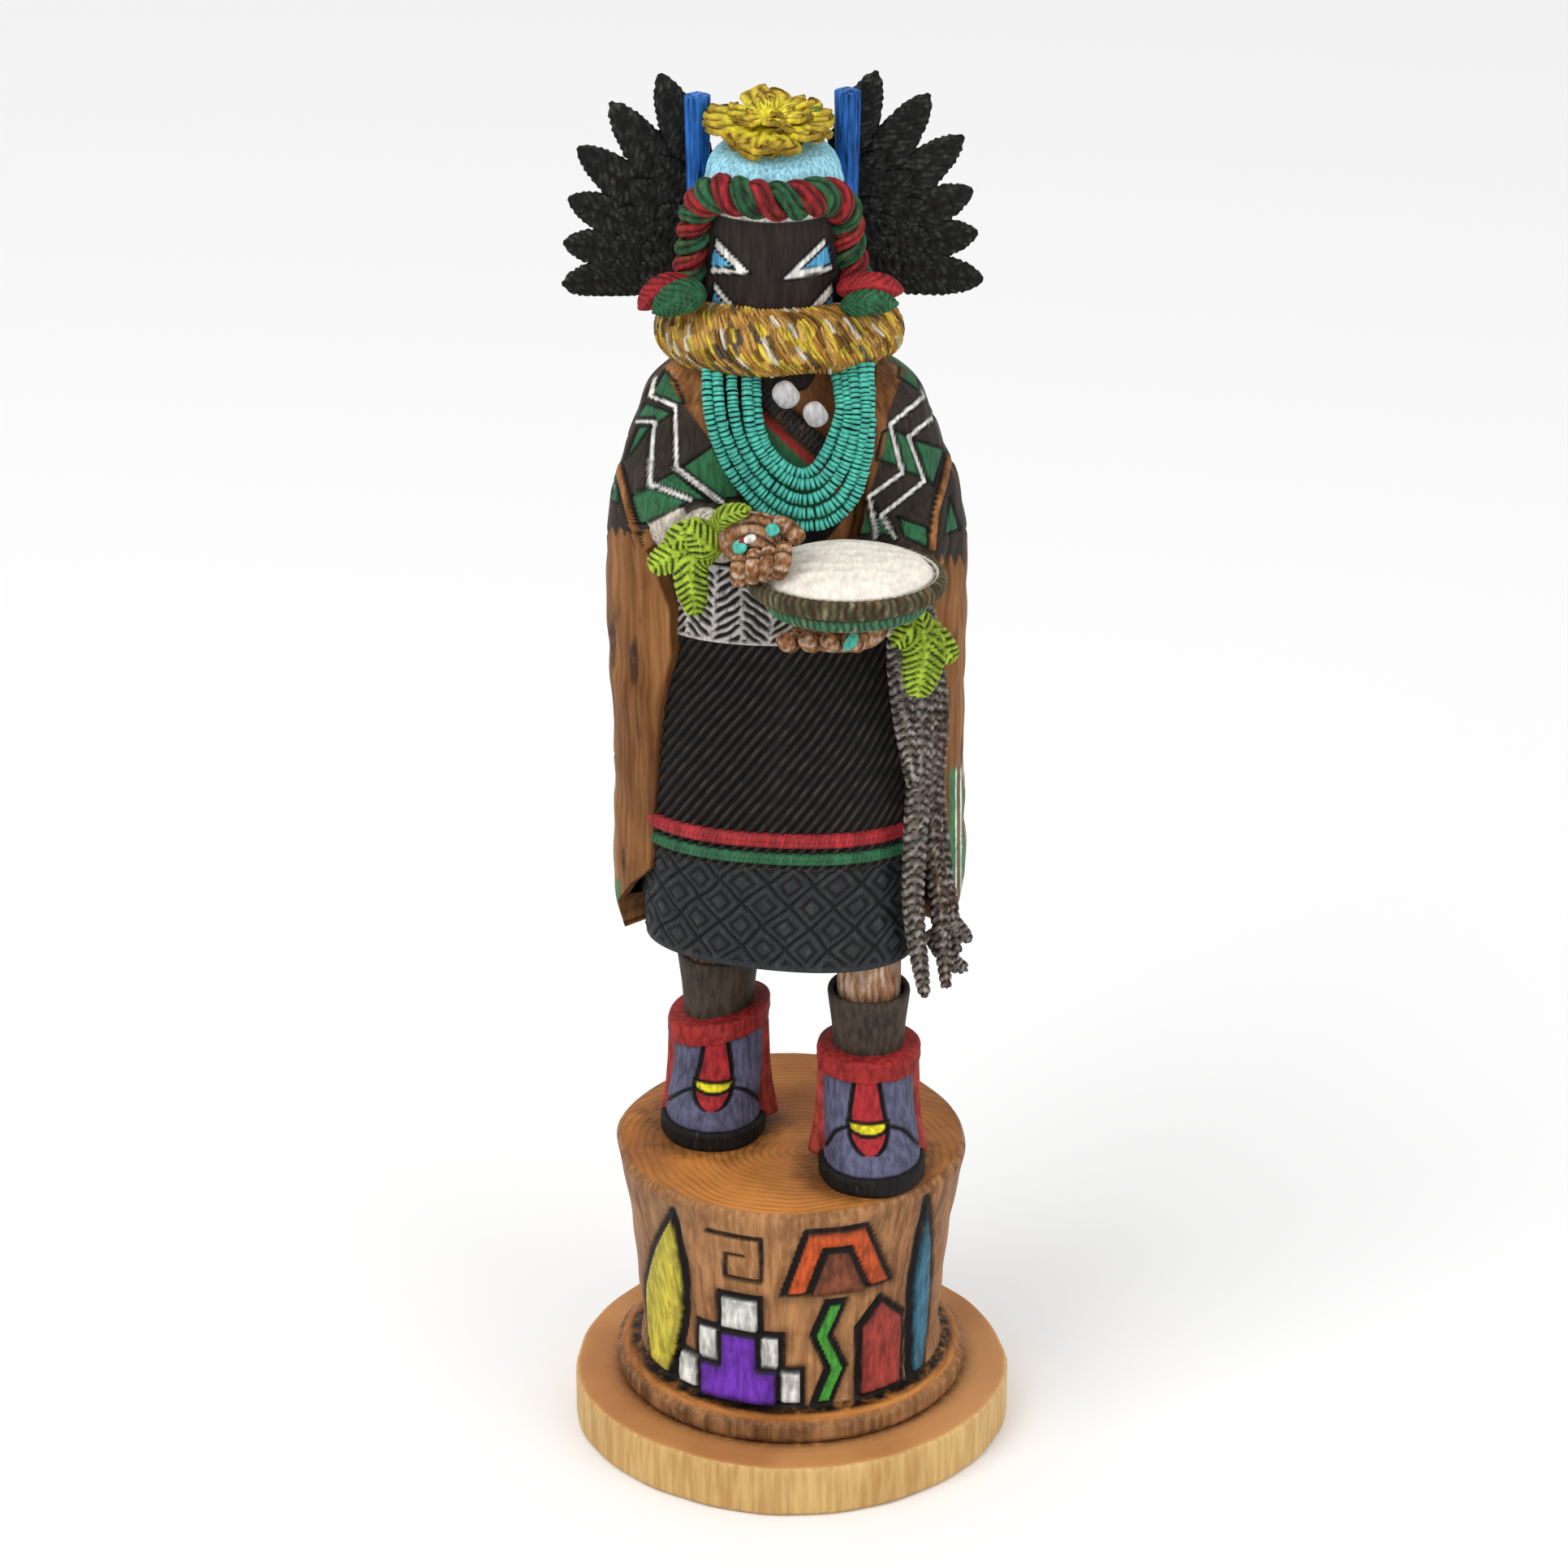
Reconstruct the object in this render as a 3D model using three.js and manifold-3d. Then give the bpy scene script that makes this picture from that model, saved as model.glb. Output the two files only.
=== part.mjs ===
// A carved and painted kachina doll: a masked figure in a shawl holds a tray of meal and stands on a
// carved pedestal with a base disc. Millimetres, +Z up; the figure faces -Y and the origin is the
// centre of the base disc's underside.

import * as THREE from "three";
import { ParametricGeometry } from "three/addons/geometries/ParametricGeometry.js";
import { mergeVertices } from "three/addons/utils/BufferGeometryUtils.js";
import Module from "manifold-3d";

const wasm = await Module();
wasm.setup();

// Base disc.
const baseRadius = 47.5;
const baseThickness = 12;
const baseEdgeRound = 1.4;
const baseOutOfRound = 0.35;

// Pedestal, with a ring at its foot and raised relief panels round its side.
const pedestalHeight = 56;
const pedestalTopRadius = 37.9;
const pedestalWaistRadius = 32.2;
const pedestalRingRadius = 38.2;
const pedestalRingHeight = 5.6;
const reliefRise = 0.9;

// The figure's height runs from its soles to the tallest feather. Its pose and carving are in shares
// of that height: one unit is a 235th of it, which is one millimetre at the real height.
const figureHeight = 235;
const unitsPerHeight = 235;
const unit = figureHeight / unitsPerHeight;

// Pieces made separately, in millimetres: thin feather fans, round pegs and the glue gap round them.
const fanThickness = 3.4;
const pegRadius = 2.7;
const glueGap = 0.3;

// A point given in the figure's units.
function at(x, y, z) {
  return new THREE.Vector3(x * unit, y * unit, z * unit);
}

// A closed geometry as a solid, with its faces turned outwards.
function solid(geometry) {
  const bare = geometry.index ? geometry.toNonIndexed() : geometry.clone();
  bare.deleteAttribute("normal");
  bare.deleteAttribute("uv");
  const merged = mergeVertices(bare, 1e-3);
  const corners = new Uint32Array(merged.index.array);
  const vertProperties = merged.attributes.position.array;
  const made = new wasm.Manifold(new wasm.Mesh({ numProp: 3, vertProperties, triVerts: corners }));
  if (made.volume() > 0) return made;
  for (let i = 0; i < corners.length; i += 3) {
    [corners[i + 1], corners[i + 2]] = [corners[i + 2], corners[i + 1]];
  }
  return new wasm.Manifold(new wasm.Mesh({ numProp: 3, vertProperties, triVerts: corners }));
}

function join(...solids) {
  return solids.flat().reduce((whole, next) => whole.add(next));
}

// The same solid with any hollow that it closes in filled, because the carving has none.
function filled(made) {
  return join(made.decompose().filter((shell) => shell.volume() > 0));
}

// The finished solid as a geometry that a mesh can show.
function geometryOf(made) {
  const mesh = made.getMesh();
  const geometry = new THREE.BufferGeometry();
  geometry.setAttribute("position", new THREE.BufferAttribute(new Float32Array(mesh.vertProperties), 3));
  geometry.setIndex(new THREE.BufferAttribute(new Uint32Array(mesh.triVerts), 1));
  geometry.computeVertexNormals();
  return geometry;
}

// A closed loft: pointAt(s, turn) walks round a ring at the share s of its length.
function loft(pointAt, steps, sides) {
  const ring = (s) => Array.from({ length: sides }, (_, i) => pointAt(s, (i / sides) * 2 * Math.PI));
  const middle = (s) => ring(s).reduce((sum, p) => sum.add(p), new THREE.Vector3()).divideScalar(sides);
  const ends = [middle(0), middle(1)];
  const rows = steps + 2;
  const surface = (u, v, target) => {
    const row = Math.round(v * rows);
    if (row === 0 || row === rows) target.copy(ends[row === 0 ? 0 : 1]);
    else target.copy(pointAt((row - 1) / steps, (Math.round(u * sides) % sides / sides) * 2 * Math.PI));
  };
  return solid(new ParametricGeometry(surface, sides, rows));
}

// A tube along a smooth curve through the points, with a radius that may change along it.
// flatten under 1 makes its section an oval that is thin along the curve's binormal.
function tube(points, radiusAt, steps, sides, flatten = 1, closed = false) {
  const curve = new THREE.CatmullRomCurve3(points, closed);
  const frames = curve.computeFrenetFrames(steps, closed);
  return loft((s, turn) => {
    const i = Math.round(s * steps);
    const radius = radiusAt(s);
    return curve.getPointAt(s)
      .addScaledVector(frames.normals[i], Math.cos(turn) * radius)
      .addScaledVector(frames.binormals[i], Math.sin(turn) * radius * flatten);
  }, steps, sides);
}

function ball(centre, size, sides = 10, turnZ = 0) {
  const geometry = new THREE.SphereGeometry(1, sides, Math.round(sides * 0.7));
  geometry.scale(size.x, size.y, size.z).rotateZ(turnZ).translate(centre.x, centre.y, centre.z);
  return solid(geometry);
}

// A flat outline in the XZ plane, extruded along Y from the nearer to the further y.
function plate(points, yNear, yFar) {
  const shape = new THREE.Shape(points.map(([x, z]) => new THREE.Vector2(x * unit, z * unit)));
  const geometry = new THREE.ExtrudeGeometry(shape, { depth: (yFar - yNear) * unit, bevelEnabled: false });
  geometry.rotateX(Math.PI / 2).translate(0, yFar * unit, 0);
  return solid(geometry);
}

// Smooth values between keyed rows whose first entry is the height.
function keyed(rows, height) {
  const last = rows.length - 1;
  if (height <= rows[0][0]) return rows[0].slice(1);
  if (height >= rows[last][0]) return rows[last].slice(1);
  const i = rows.findIndex((row, n) => n < last && height < rows[n + 1][0]);
  const [a, b] = [rows[i], rows[i + 1]];
  const [before, after] = [rows[Math.max(i - 1, 0)], rows[Math.min(i + 2, last)]];
  const gap = b[0] - a[0];
  const t = (height - a[0]) / gap;
  return a.slice(1).map((_, n) => {
    const k = n + 1;
    const rise = ((b[k] - before[k]) / (b[0] - before[0])) * gap;
    const fall = ((after[k] - a[k]) / (after[0] - a[0])) * gap;
    return (2 * t ** 3 - 3 * t ** 2 + 1) * a[k] + (t ** 3 - 2 * t ** 2 + t) * rise
      + (3 * t ** 2 - 2 * t ** 3) * b[k] + (t ** 3 - t ** 2) * fall;
  });
}

// A point on an oval with squared corners: power 2 is an ellipse.
function oval(halfX, halfY, power, turn) {
  const round = (value) => Math.sign(value) * Math.abs(value) ** (2 / power);
  return [halfX * round(Math.cos(turn)), halfY * round(Math.sin(turn))];
}

// Base disc: a slab sawn roughly round, with softened edges.
function baseDisc() {
  const rim = [[0, -baseEdgeRound], [baseEdgeRound, 0], [baseThickness - baseEdgeRound, 0], [baseThickness, -baseEdgeRound]];
  return loft((s, turn) => {
    const [height, inset] = rim[Math.round(s * (rim.length - 1))];
    const radius = baseRadius + inset + baseOutOfRound * Math.cos(5 * turn + 1.1);
    return new THREE.Vector3(radius * Math.cos(turn), radius * Math.sin(turn), height);
  }, rim.length - 1, 36);
}

// Pedestal radius at a height above its own foot, and the same with the panels' rise added.
const pedestalProfile = [
  [0, pedestalRingRadius - 1],
  [1.4, pedestalRingRadius],
  [pedestalRingHeight - 1.2, pedestalRingRadius],
  [pedestalRingHeight, pedestalRingRadius - 1.6],
  [pedestalRingHeight + 1.2, pedestalWaistRadius + 0.7],
  [pedestalHeight * 0.2, pedestalWaistRadius],
  [pedestalHeight * 0.42, pedestalWaistRadius + 0.9],
  [pedestalHeight * 0.66, pedestalWaistRadius + 2.4],
  [pedestalHeight * 0.84, (pedestalWaistRadius + pedestalTopRadius * 3) / 4],
  [pedestalHeight - 1.6, pedestalTopRadius],
  [pedestalHeight, pedestalTopRadius - 1],
];

function turned(profile, grow, sides) {
  const points = profile.map(([height, radius]) => new THREE.Vector2(radius + grow, height));
  points.unshift(new THREE.Vector2(0, profile[0][0]));
  points.push(new THREE.Vector2(0, profile.at(-1)[0]));
  return solid(new THREE.LatheGeometry(points, sides).rotateX(Math.PI / 2));
}

// Relief outlines in the XZ plane, as shares of the pedestal's waist radius and height.
function archOutline(middle, foot, top, halfWidth) {
  const steps = 6;
  const points = [[middle - halfWidth, foot]];
  for (let i = 0; i <= steps; i += 1) {
    const turn = Math.PI - (i / steps) * Math.PI;
    points.push([middle + halfWidth * Math.cos(turn), foot + (top - foot) * (0.4 + 0.6 * Math.sin(turn))]);
  }
  points.push([middle + halfWidth, foot]);
  return points;
}

function leafOutline(foot, tip, left, right, bow) {
  const steps = 4;
  const side = (edge, out) => Array.from({ length: steps }, (_, i) => {
    const s = i / steps;
    return [edge + (tip[0] - edge) * s + out * bow * Math.sin(Math.PI * s), foot + (tip[1] - foot) * s];
  });
  return [...side(left, -1), tip, ...side(right, 1).reverse()];
}

const bar = (left, right, foot, top) => [[left, foot], [left, top], [right, top], [right, foot]];

// A stepped cloud that narrows upwards.
function stepsOutline(middle, foot, half, rise, count) {
  const side = (way) => Array.from({ length: count }, (_, level) => {
    const across = middle + way * half * (1 - level / count);
    return [[across, foot + level * rise], [across, foot + (level + 1) * rise]];
  }).flat();
  return [...side(-1), ...side(1).reverse()];
}

// A sloped hill with a flat top.
const hill = (middle, foot, top, half, crown) => [
  [middle - half, foot], [middle - crown, top], [middle + crown, top], [middle + half, foot],
];

// A zigzag that drops from its top to its foot.
function lightning(left, width, foot, top, sway, count) {
  const side = Array.from({ length: count + 1 }, (_, i) => {
    return [left + (i % 2) * sway, foot + (top - foot) * i / count];
  });
  return [...side, ...side.map(([across, height]) => [across + width, height]).reverse()];
}

// Panels seen from the front, then from behind where the work is plainer.
const frontPanels = [
  stepsOutline(-0.34, 0.12, 0.42, 0.16, 3),
  hill(0.3, 0.62, 0.92, 0.36, 0.2),
  lightning(0.14, 0.12, 0.12, 0.58, 0.1, 3),
  [...bar(0.44, 0.74, 0.12, 0.44).slice(0, 2), [0.59, 0.56], ...bar(0.44, 0.74, 0.12, 0.44).slice(2)],
  leafOutline(0.12, [-0.78, 0.93], -0.95, -0.8, 0.1),
  leafOutline(0.12, [0.9, 0.95], 0.79, 0.89, 0.05),
];
const backPanels = [
  stepsOutline(0, 0.12, 0.34, 0.14, 3),
  archOutline(-0.6, 0.12, 0.5, 0.16),
  archOutline(0.6, 0.12, 0.5, 0.16),
  leafOutline(0.6, [0, 0.92], -0.12, 0.12, 0.06),
];

function pedestal() {
  const sides = 28;
  const body = turned(pedestalProfile, 0, sides);
  const raised = turned(pedestalProfile.slice(4, -1), reliefRise, sides);
  const panel = (outline, front) => {
    const points = outline.map(([x, z]) => [x * pedestalWaistRadius / unit, z * pedestalHeight / unit]);
    const reach = (pedestalTopRadius + reliefRise) * 2 / unit;
    return front ? plate(points, -reach, 0) : plate(points, 0, reach);
  };
  const panels = [...frontPanels.map((o) => panel(o, true)), ...backPanels.map((o) => panel(o, false))];
  return join(body, panels.map((p) => p.intersect(raised)));
}

// Legs: sole centre, leg centre and the legging's lean for each foot.
const feet = {
  right: { sole: [-16.9, 3.6], leg: [-15.6, 5], cuffTilt: 0.22 },
  left: { sole: [17.2, -17.2], leg: [16.4, -13.2], cuffTilt: 0 },
};
const soleHalf = [11.4, 13.6];
const soleThickness = 4.4;
const cuffTop = 28.8;
const cuffHeight = 4.8;
const leggingTop = 41.8;

function boot({ sole, leg, cuffTilt }) {
  const ovals = (rows, steps, sides, tilt = 0) => loft((s, turn) => {
    const [height, along, halfX, halfY] = rows[Math.round(s * steps)];
    const [x, y] = oval(halfX, halfY, 2.15, turn);
    const middle = [0, 1].map((n) => sole[n] + (leg[n] - sole[n]) * along);
    return at(middle[0] + x, middle[1] + y, height + tilt * x);
  }, steps, sides);
  const soleRows = [[0, 0, soleHalf[0] - 0.5, soleHalf[1] - 0.5], [1, 0, ...soleHalf],
    [soleThickness - 0.8, 0, ...soleHalf], [soleThickness, 0, soleHalf[0] - 0.5, soleHalf[1] - 0.5]];
  const bootRows = [[soleThickness - 1, 0, soleHalf[0] - 1, soleHalf[1] - 1], [soleThickness + 2.4, 0, 10, 12.2],
    [10, 0.3, 9.9, 11.8], [14, 0.7, 9.8, 10.4], [cuffTop - cuffHeight, 1, 9.7, 9.9], [cuffTop - 2, 1, 8, 8]];
  const cuffFoot = cuffTop - cuffHeight;
  const cuffRows = [[cuffFoot, 1, 10, 10], [cuffFoot, 1, 10.8, 10.8], [cuffTop - 0.6, 1, 11, 11], [cuffTop, 1, 10.4, 10.4]];
  const flapRows = [[2.6, 1, 11.4, 10.2], [2.6, 1, 12.9, 12], [10, 1, 11.6, 11.2], [cuffFoot + 2, 1, 10.8, 10.8]];
  const leggingRows = [[cuffFoot, 1, 7.4, 7.4], [cuffTop, 1, 7.5, 7.5], [34, 1, 7.9, 7.9], [leggingTop, 1, 8.8, 8.8],
    [leggingTop, 1, 7.4, 7.4]];
  const reach = 40;
  const behind = plate([[-reach, -1], [-reach, reach], [reach, reach], [reach, -1]], leg[1] - 1, leg[1] + reach);
  const skin = tube([at(leg[0], leg[1], leggingTop - 3), at(leg[0], leg[1] - 0.5, 62)], () => 6.7 * unit, 1, 8);
  return join(ovals(soleRows, 3, 14), ovals(bootRows, 5, 10), ovals(cuffRows, 3, 10, cuffTilt),
    ovals(flapRows, 3, 10).intersect(behind), ovals(leggingRows, 4, 10), skin);
}

// Dress: height, middle x, middle y, half width, half depth, turn in degrees.
const hemHeight = 51;
const waistHeight = 122;
const dressRows = [
  [hemHeight, -2, -6, 29, 18.6, -14],
  [hemHeight + 12, -2, -4.8, 29.4, 19, -11],
  [79, -2, -2.8, 30, 19.6, -7],
  [100, -1.6, -1, 29.6, 19.8, -3],
  [waistHeight, -1.2, 0, 27.4, 19.4, 0],
  [140, -1, 1, 26.6, 19.6, 0],
  [160, -2, 1, 25, 18.6, 0],
  [182, -3, 0, 15, 13, 0],
];

// Heights at which the dress steps out or in: its two cords and its belt stand proud.
const cordHeights = [[73.4, 76], [77, 80.6]];
const cordRise = 1.3;
const beltHeights = [waistHeight + 1, waistHeight + 16];
const beltRise = 0.7;

function dress() {
  const steps = [[hemHeight, 0], [60, 0], [68, 0]];
  const step = ([low, high], rise) => steps.push([low, 0], [low + 0.5, rise], [high - 0.5, rise], [high, 0]);
  cordHeights.forEach((heights) => step(heights, cordRise));
  steps.push([92, 0], [107, 0]);
  step(beltHeights, beltRise);
  steps.push([150, 0], [160, 0], [172, 0], [182, 0]);
  return loft((s, turn) => {
    const [height, rise] = steps[Math.round(s * (steps.length - 1))];
    const [midX, midY, halfX, halfY, twist] = keyed(dressRows, height);
    const [x, y] = oval(halfX + rise, halfY + rise, 2.3, turn);
    const tilt = THREE.MathUtils.degToRad(twist);
    return at(midX + x * Math.cos(tilt) - y * Math.sin(tilt), midY + x * Math.sin(tilt) + y * Math.cos(tilt), height);
  }, steps.length - 1, 22);
}

// A closed cord of a round section laid through points that go once round.
function ring(points, radius, sides = 5) {
  const curve = new THREE.CatmullRomCurve3(points, true);
  const steps = points.length;
  const frames = curve.computeFrenetFrames(steps, true);
  const surface = (u, v, target) => {
    const i = Math.round(u * steps) % steps;
    const turn = (Math.round(v * sides) % sides / sides) * 2 * Math.PI;
    target.copy(curve.getPointAt(i / steps))
      .addScaledVector(frames.normals[i], Math.cos(turn) * radius * unit)
      .addScaledVector(frames.binormals[i], Math.sin(turn) * radius * unit);
  };
  return solid(new ParametricGeometry(surface, steps, sides));
}

// Shawl: height, left edge, right edge, front and back of its outside.
const shawlCorner = 50;
const shawlRows = [
  [shawlCorner, -36, 35, -20, 27],
  [57, -37.5, 36.4, -20, 27.6],
  [63, -37.6, 37, -20, 28],
  [76, -37.3, 36.6, -20, 28],
  [95, -37.4, 36.2, -20, 28],
  [113, -38, 36.3, -20, 28],
  [132, -38.4, 36.4, -20.5, 27.6],
  [142, -37.9, 35.9, -21, 27],
  [150, -36.5, 34.3, -22, 26],
  [158, -34.1, 31.6, -22.6, 24.5],
  [165, -31.6, 29, -22.6, 22.6],
  [172.6, -29, 25.7, -21.6, 19.6],
  [181, -20, 15, -17, 14],
];
// The shawl's front hangs open below the arms, back to this depth, and round the chest above them.
const openingDepth = -12.8;
const chestDepth = -17;
const shawlBackHem = 62;
const shawlSheet = 4;

function shawl() {
  const [low, high] = [shawlRows[0][0], shawlRows.at(-1)[0]];
  const outside = (inset, top, steps, sides) => loft((s, turn) => {
    const height = low + (top - low) * s;
    const [left, right, front, back] = keyed(shawlRows, height);
    const [x, y] = oval((right - left) / 2 - inset, (back - front) / 2 - inset, 2.25, turn);
    return at((left + right) / 2 + x, (front + back) / 2 + y, height);
  }, steps, sides);
  const far = 60;
  const openFront = plate([[-far, 30], [-far, 143], [far, 143], [far, 30]], -far, openingDepth);
  // The neck opening between the two front edges.
  const neck = plate([[-21, 190], [-19.5, 178], [-15.6, 168], [-11.6, 154], [-11, 140], [14, 140], [14.4, 143],
    [17.8, 152], [19.8, 164], [21, 190]], -far, chestDepth);
  // What is cut away under the back hem, leaving the two front corners hanging.
  const hem = plate([[-35.4, 40], [-33.4, 57], [-31.4, 63], [-28.6, 70], [-24, shawlBackHem], [22, shawlBackHem],
    [27, 70], [31, 63], [33, 57], [34.8, 40]], -far, far);
  return outside(0, high, 9, 24)
    .subtract(openFront).subtract(neck).subtract(hem)
    .subtract(outside(shawlSheet, 74, 1, 24));
}

// Tray held in the hands: the right hand grips its rim and the left one is spread under it.
const trayMiddle = [11, -37.6];
const trayHalf = [20.2, 17.2];
const trayRim = 146.4;
const trayDepth = 8.4;
const rightHand = trayRim + 4;
const leftHand = trayRim - trayDepth - 5.6;

// Arms, given by their joints, with the sleeves that the shawl makes over them.
const arms = {
  right: { elbow: [-24, -12, 146], wrist: [-13.5, -32.5, rightHand] },
  left: { elbow: [25, -10, 138], wrist: [19.6, -30, leftHand] },
};

function armSolids() {
  const forearm = ({ elbow, wrist }) => tube([at(...elbow), at(...wrist)], (s) => (5.4 - 1.3 * s) * unit, 2, 8);
  const sleeve = tube([at(-22, -3, 158), at(-23, -13, rightHand + 3), at(-19.5, -22, rightHand - 1)], (s) => (9.6 - 2.8 * s) * unit, 3, 10);
  const leftSleeve = tube([at(23, -4, 150), at(24.4, -13, leftHand + 10.6), at(23, -19, leftHand + 5.6)], (s) => (9 - 2.4 * s) * unit, 3, 10);
  return [forearm(arms.right), forearm(arms.left), sleeve, leftSleeve];
}

// Hands: a back, and four fingers that start at the knuckles and end where they grip.
const fingerRadius = 1.75;
function handSolids() {
  const right = (x, y, rise) => at(x, y, rightHand + rise);
  const left = (x, y, rise) => at(x, y, leftHand + rise);
  const back = tube([right(-13.5, -32.5, 0.2), right(-7, -38.5, 3.2), right(-2.6, -42, 2.6)],
    (s) => (4.3 + 1.2 * Math.sin(Math.PI * s * 0.8)) * unit, 4, 10, 0.85);
  const palm = tube([left(19.6, -30, 0), left(12, -33, 0.6), left(2, -36, 1)],
    (s) => (4.2 + 1.6 * Math.sin(Math.PI * s)) * unit, 4, 8, 0.8);
  const fingers = Array.from({ length: 4 }, (_, i) => {
    const [along, under] = [i * 2.9, i * 4.4];
    const gripping = [right(-1.4 - along, -43.6 + i * 0.5, 4.6 - i * 0.9), right(-1.8 - along, -46.6 + i * 0.6, 1.6 - i),
      right(-3 - i * 2.5, -45.6 + i * 0.6, -2.4 - i * 0.7)];
    const spread = [left(15 - under, -33, -0.4), left(13 - under, -40, -1), left(11 - under, -43, 2)];
    return [tube(gripping, () => fingerRadius * unit, 2, 5), tube(spread, () => (fingerRadius + 0.2) * unit, 2, 5)];
  });
  return [back, palm, ...fingers.flat()];
}

// A leaf-shaped lump with pointed ends, for fir sprigs and cord tassels.
function leaf(points, width, flatten = 0.55) {
  return tube(points.map((p) => at(...p)), (s) => Math.max(0.25, width * Math.sin(Math.PI * (0.08 + 0.86 * s)) ** 0.7) * unit, 4, 5, flatten);
}

// Fir sprigs tied at the wrists, with each point's height above its hand.
const sprigLeaves = [
  { hand: rightHand, points: [[-15, -33, 0.6], [-22, -35.5, -0.6], [-28.2, -36, -4.2]], width: 3.3 },
  { hand: rightHand, points: [[-15.5, -33, -0.4], [-20, -36.6, -3], [-19.3, -37.2, -13.6]], width: 3.2 },
  { hand: rightHand, points: [[-15.4, -33.5, -1], [-17.6, -36.6, 1.6], [-21.4, -36.6, 5.6]], width: 3 },
  { hand: rightHand, points: [[-16, -33.6, 2], [-20, -36, 3.4], [-25, -35.6, 0.8]], width: 2.8 },
  { hand: rightHand, points: [[-15, -33, 3], [-13, -38, 8], [-8.8, -40.6, 10.2]], width: 2 },
  { hand: leftHand, points: [[23, -31, 0.6], [26.6, -35.6, -2.4], [25.4, -36.2, -13.8]], width: 4 },
  { hand: leftHand, points: [[23, -31, 0.4], [28, -34.6, -1.6], [32.8, -35, -6.4]], width: 3 },
  { hand: leftHand, points: [[23.4, -31.5, 1], [24, -34.6, 0.2], [20.4, -35.4, -3]], width: 2.5 },
  { hand: leftHand, points: [[22.6, -31, 0], [26.4, -34.6, 0.6], [25.6, -35, 4.6]], width: 1.8 },
];

function sprigSolids() {
  return sprigLeaves.map(({ hand, points, width }) => leaf(points.map(([x, y, rise]) => [x, y, hand + rise]), width));
}

// Whips of yucca held in the left hand, each a path with a thickness.
const whips = [
  { points: [[22.4, -27, leftHand + 1.6], [21.6, -24.6, 124], [22.6, -23.6, 112], [25, -23.4, 92.8]], width: 2.5 },
  { points: [[24, -24, leftHand + 1.6], [26.4, -22.8, 112], [26.2, -22.4, 94], [25.4, -22.6, 75], [25.6, -22.4, 62], [28, -20, 43]], width: 2.7 },
  { points: [[26, -20, leftHand + 1.6], [28.6, -18.4, 109], [28.8, -18, 92], [29.2, -18.4, 79], [30.6, -18.8, 66], [32.6, -18, 44]], width: 2.5 },
  { points: [[27, -17, leftHand + 1.6], [30.4, -15, 108], [29.8, -14.6, 90], [31.4, -14.8, 74], [33.6, -14.8, 60], [35, -14, 50]], width: 2.2 },
  { points: [[30, -16, 62], [34.6, -14.4, 56], [37.4, -13, 52.6]], width: 2.2 },
  { points: [[29, -17, 56], [33.6, -15, 48.6], [36.8, -13.6, 46]], width: 2.2 },
];

function whipSolids() {
  return whips.map(({ points, width }) => tube(points.map((p) => at(...p)), () => width * unit, points.length + 1, 4));
}

// Head: the mask is a drum, the cap on it a dome with a small flat top for the crest.
const headMiddle = [-3.6, -2];
const capTop = 224;
const capFlatRadius = 9.4;
const headRows = [[178, 13, 13.6], [190, 14.4, 14.8], [205, 14.8, 15], [216, 14.4, 14.6], [220, 13, 13.4],
  [capTop - 1.4, 11.2, 11.4], [capTop, capFlatRadius, capFlatRadius]];

function head() {
  const [low, high] = [headRows[0][0], headRows.at(-1)[0]];
  return loft((s, turn) => {
    const height = low + (high - low) * (1 - (1 - s) ** 1.5);
    const [halfX, halfY] = keyed(headRows, height);
    return at(headMiddle[0] + halfX * Math.cos(turn), headMiddle[1] + halfY * Math.sin(turn), height);
  }, 6, 18);
}

// Ruff of fur round the neck: a fat ring, a little higher in front.
const ruffMiddle = [-2.4, -3, 185.2];
const ruffHalf = [18.4, 14];
const ruffRadius = 6.6;
const ruffTilt = -2.3;

function ruff() {
  const steps = 18;
  const points = Array.from({ length: steps }, (_, i) => {
    const turn = (i / steps) * 2 * Math.PI;
    return at(ruffMiddle[0] + ruffHalf[0] * Math.cos(turn), ruffMiddle[1] + ruffHalf[1] * Math.sin(turn), ruffMiddle[2] + ruffTilt * Math.sin(turn));
  });
  return ring(points, ruffRadius, 6);
}

// Hair tie: one thick two-strand cord over the brow and down both sides, ending in tassels.
const tiePath = [[-22.4, -7, 192.5], [-20.4, -6.6, 199], [-19.6, -7.4, 206], [-18.6, -9.4, 212.6], [-15, -13.6, 217],
  [-9.6, -17, 217.4], [-3.6, -18.2, 217.2], [2.6, -17.2, 217.4], [6.8, -14, 216.8], [10.4, -10.2, 212.6], [11.2, -8, 205.6],
  [12.4, -7.2, 198.6], [15, -7.4, 192.5]];
const tieHalfTurns = 22;
const tieRadius = 3.5;
const tieGroove = 0.24;
const tassels = [
  { points: [[-11, -11, 194], [-20, -13.6, 194.4], [-27.6, -12, 190.4]], width: 2.9 },
  { points: [[-11, -15, 191.4], [-18.6, -18.6, 190.4], [-25.4, -16.6, 189]], width: 3.5 },
  { points: [[5, -11, 193], [15, -14.4, 195], [22.4, -12, 193]], width: 3 },
  { points: [[7, -14, 190.6], [15, -17.8, 191], [21.6, -15.6, 190.6]], width: 3.1 },
];

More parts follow.
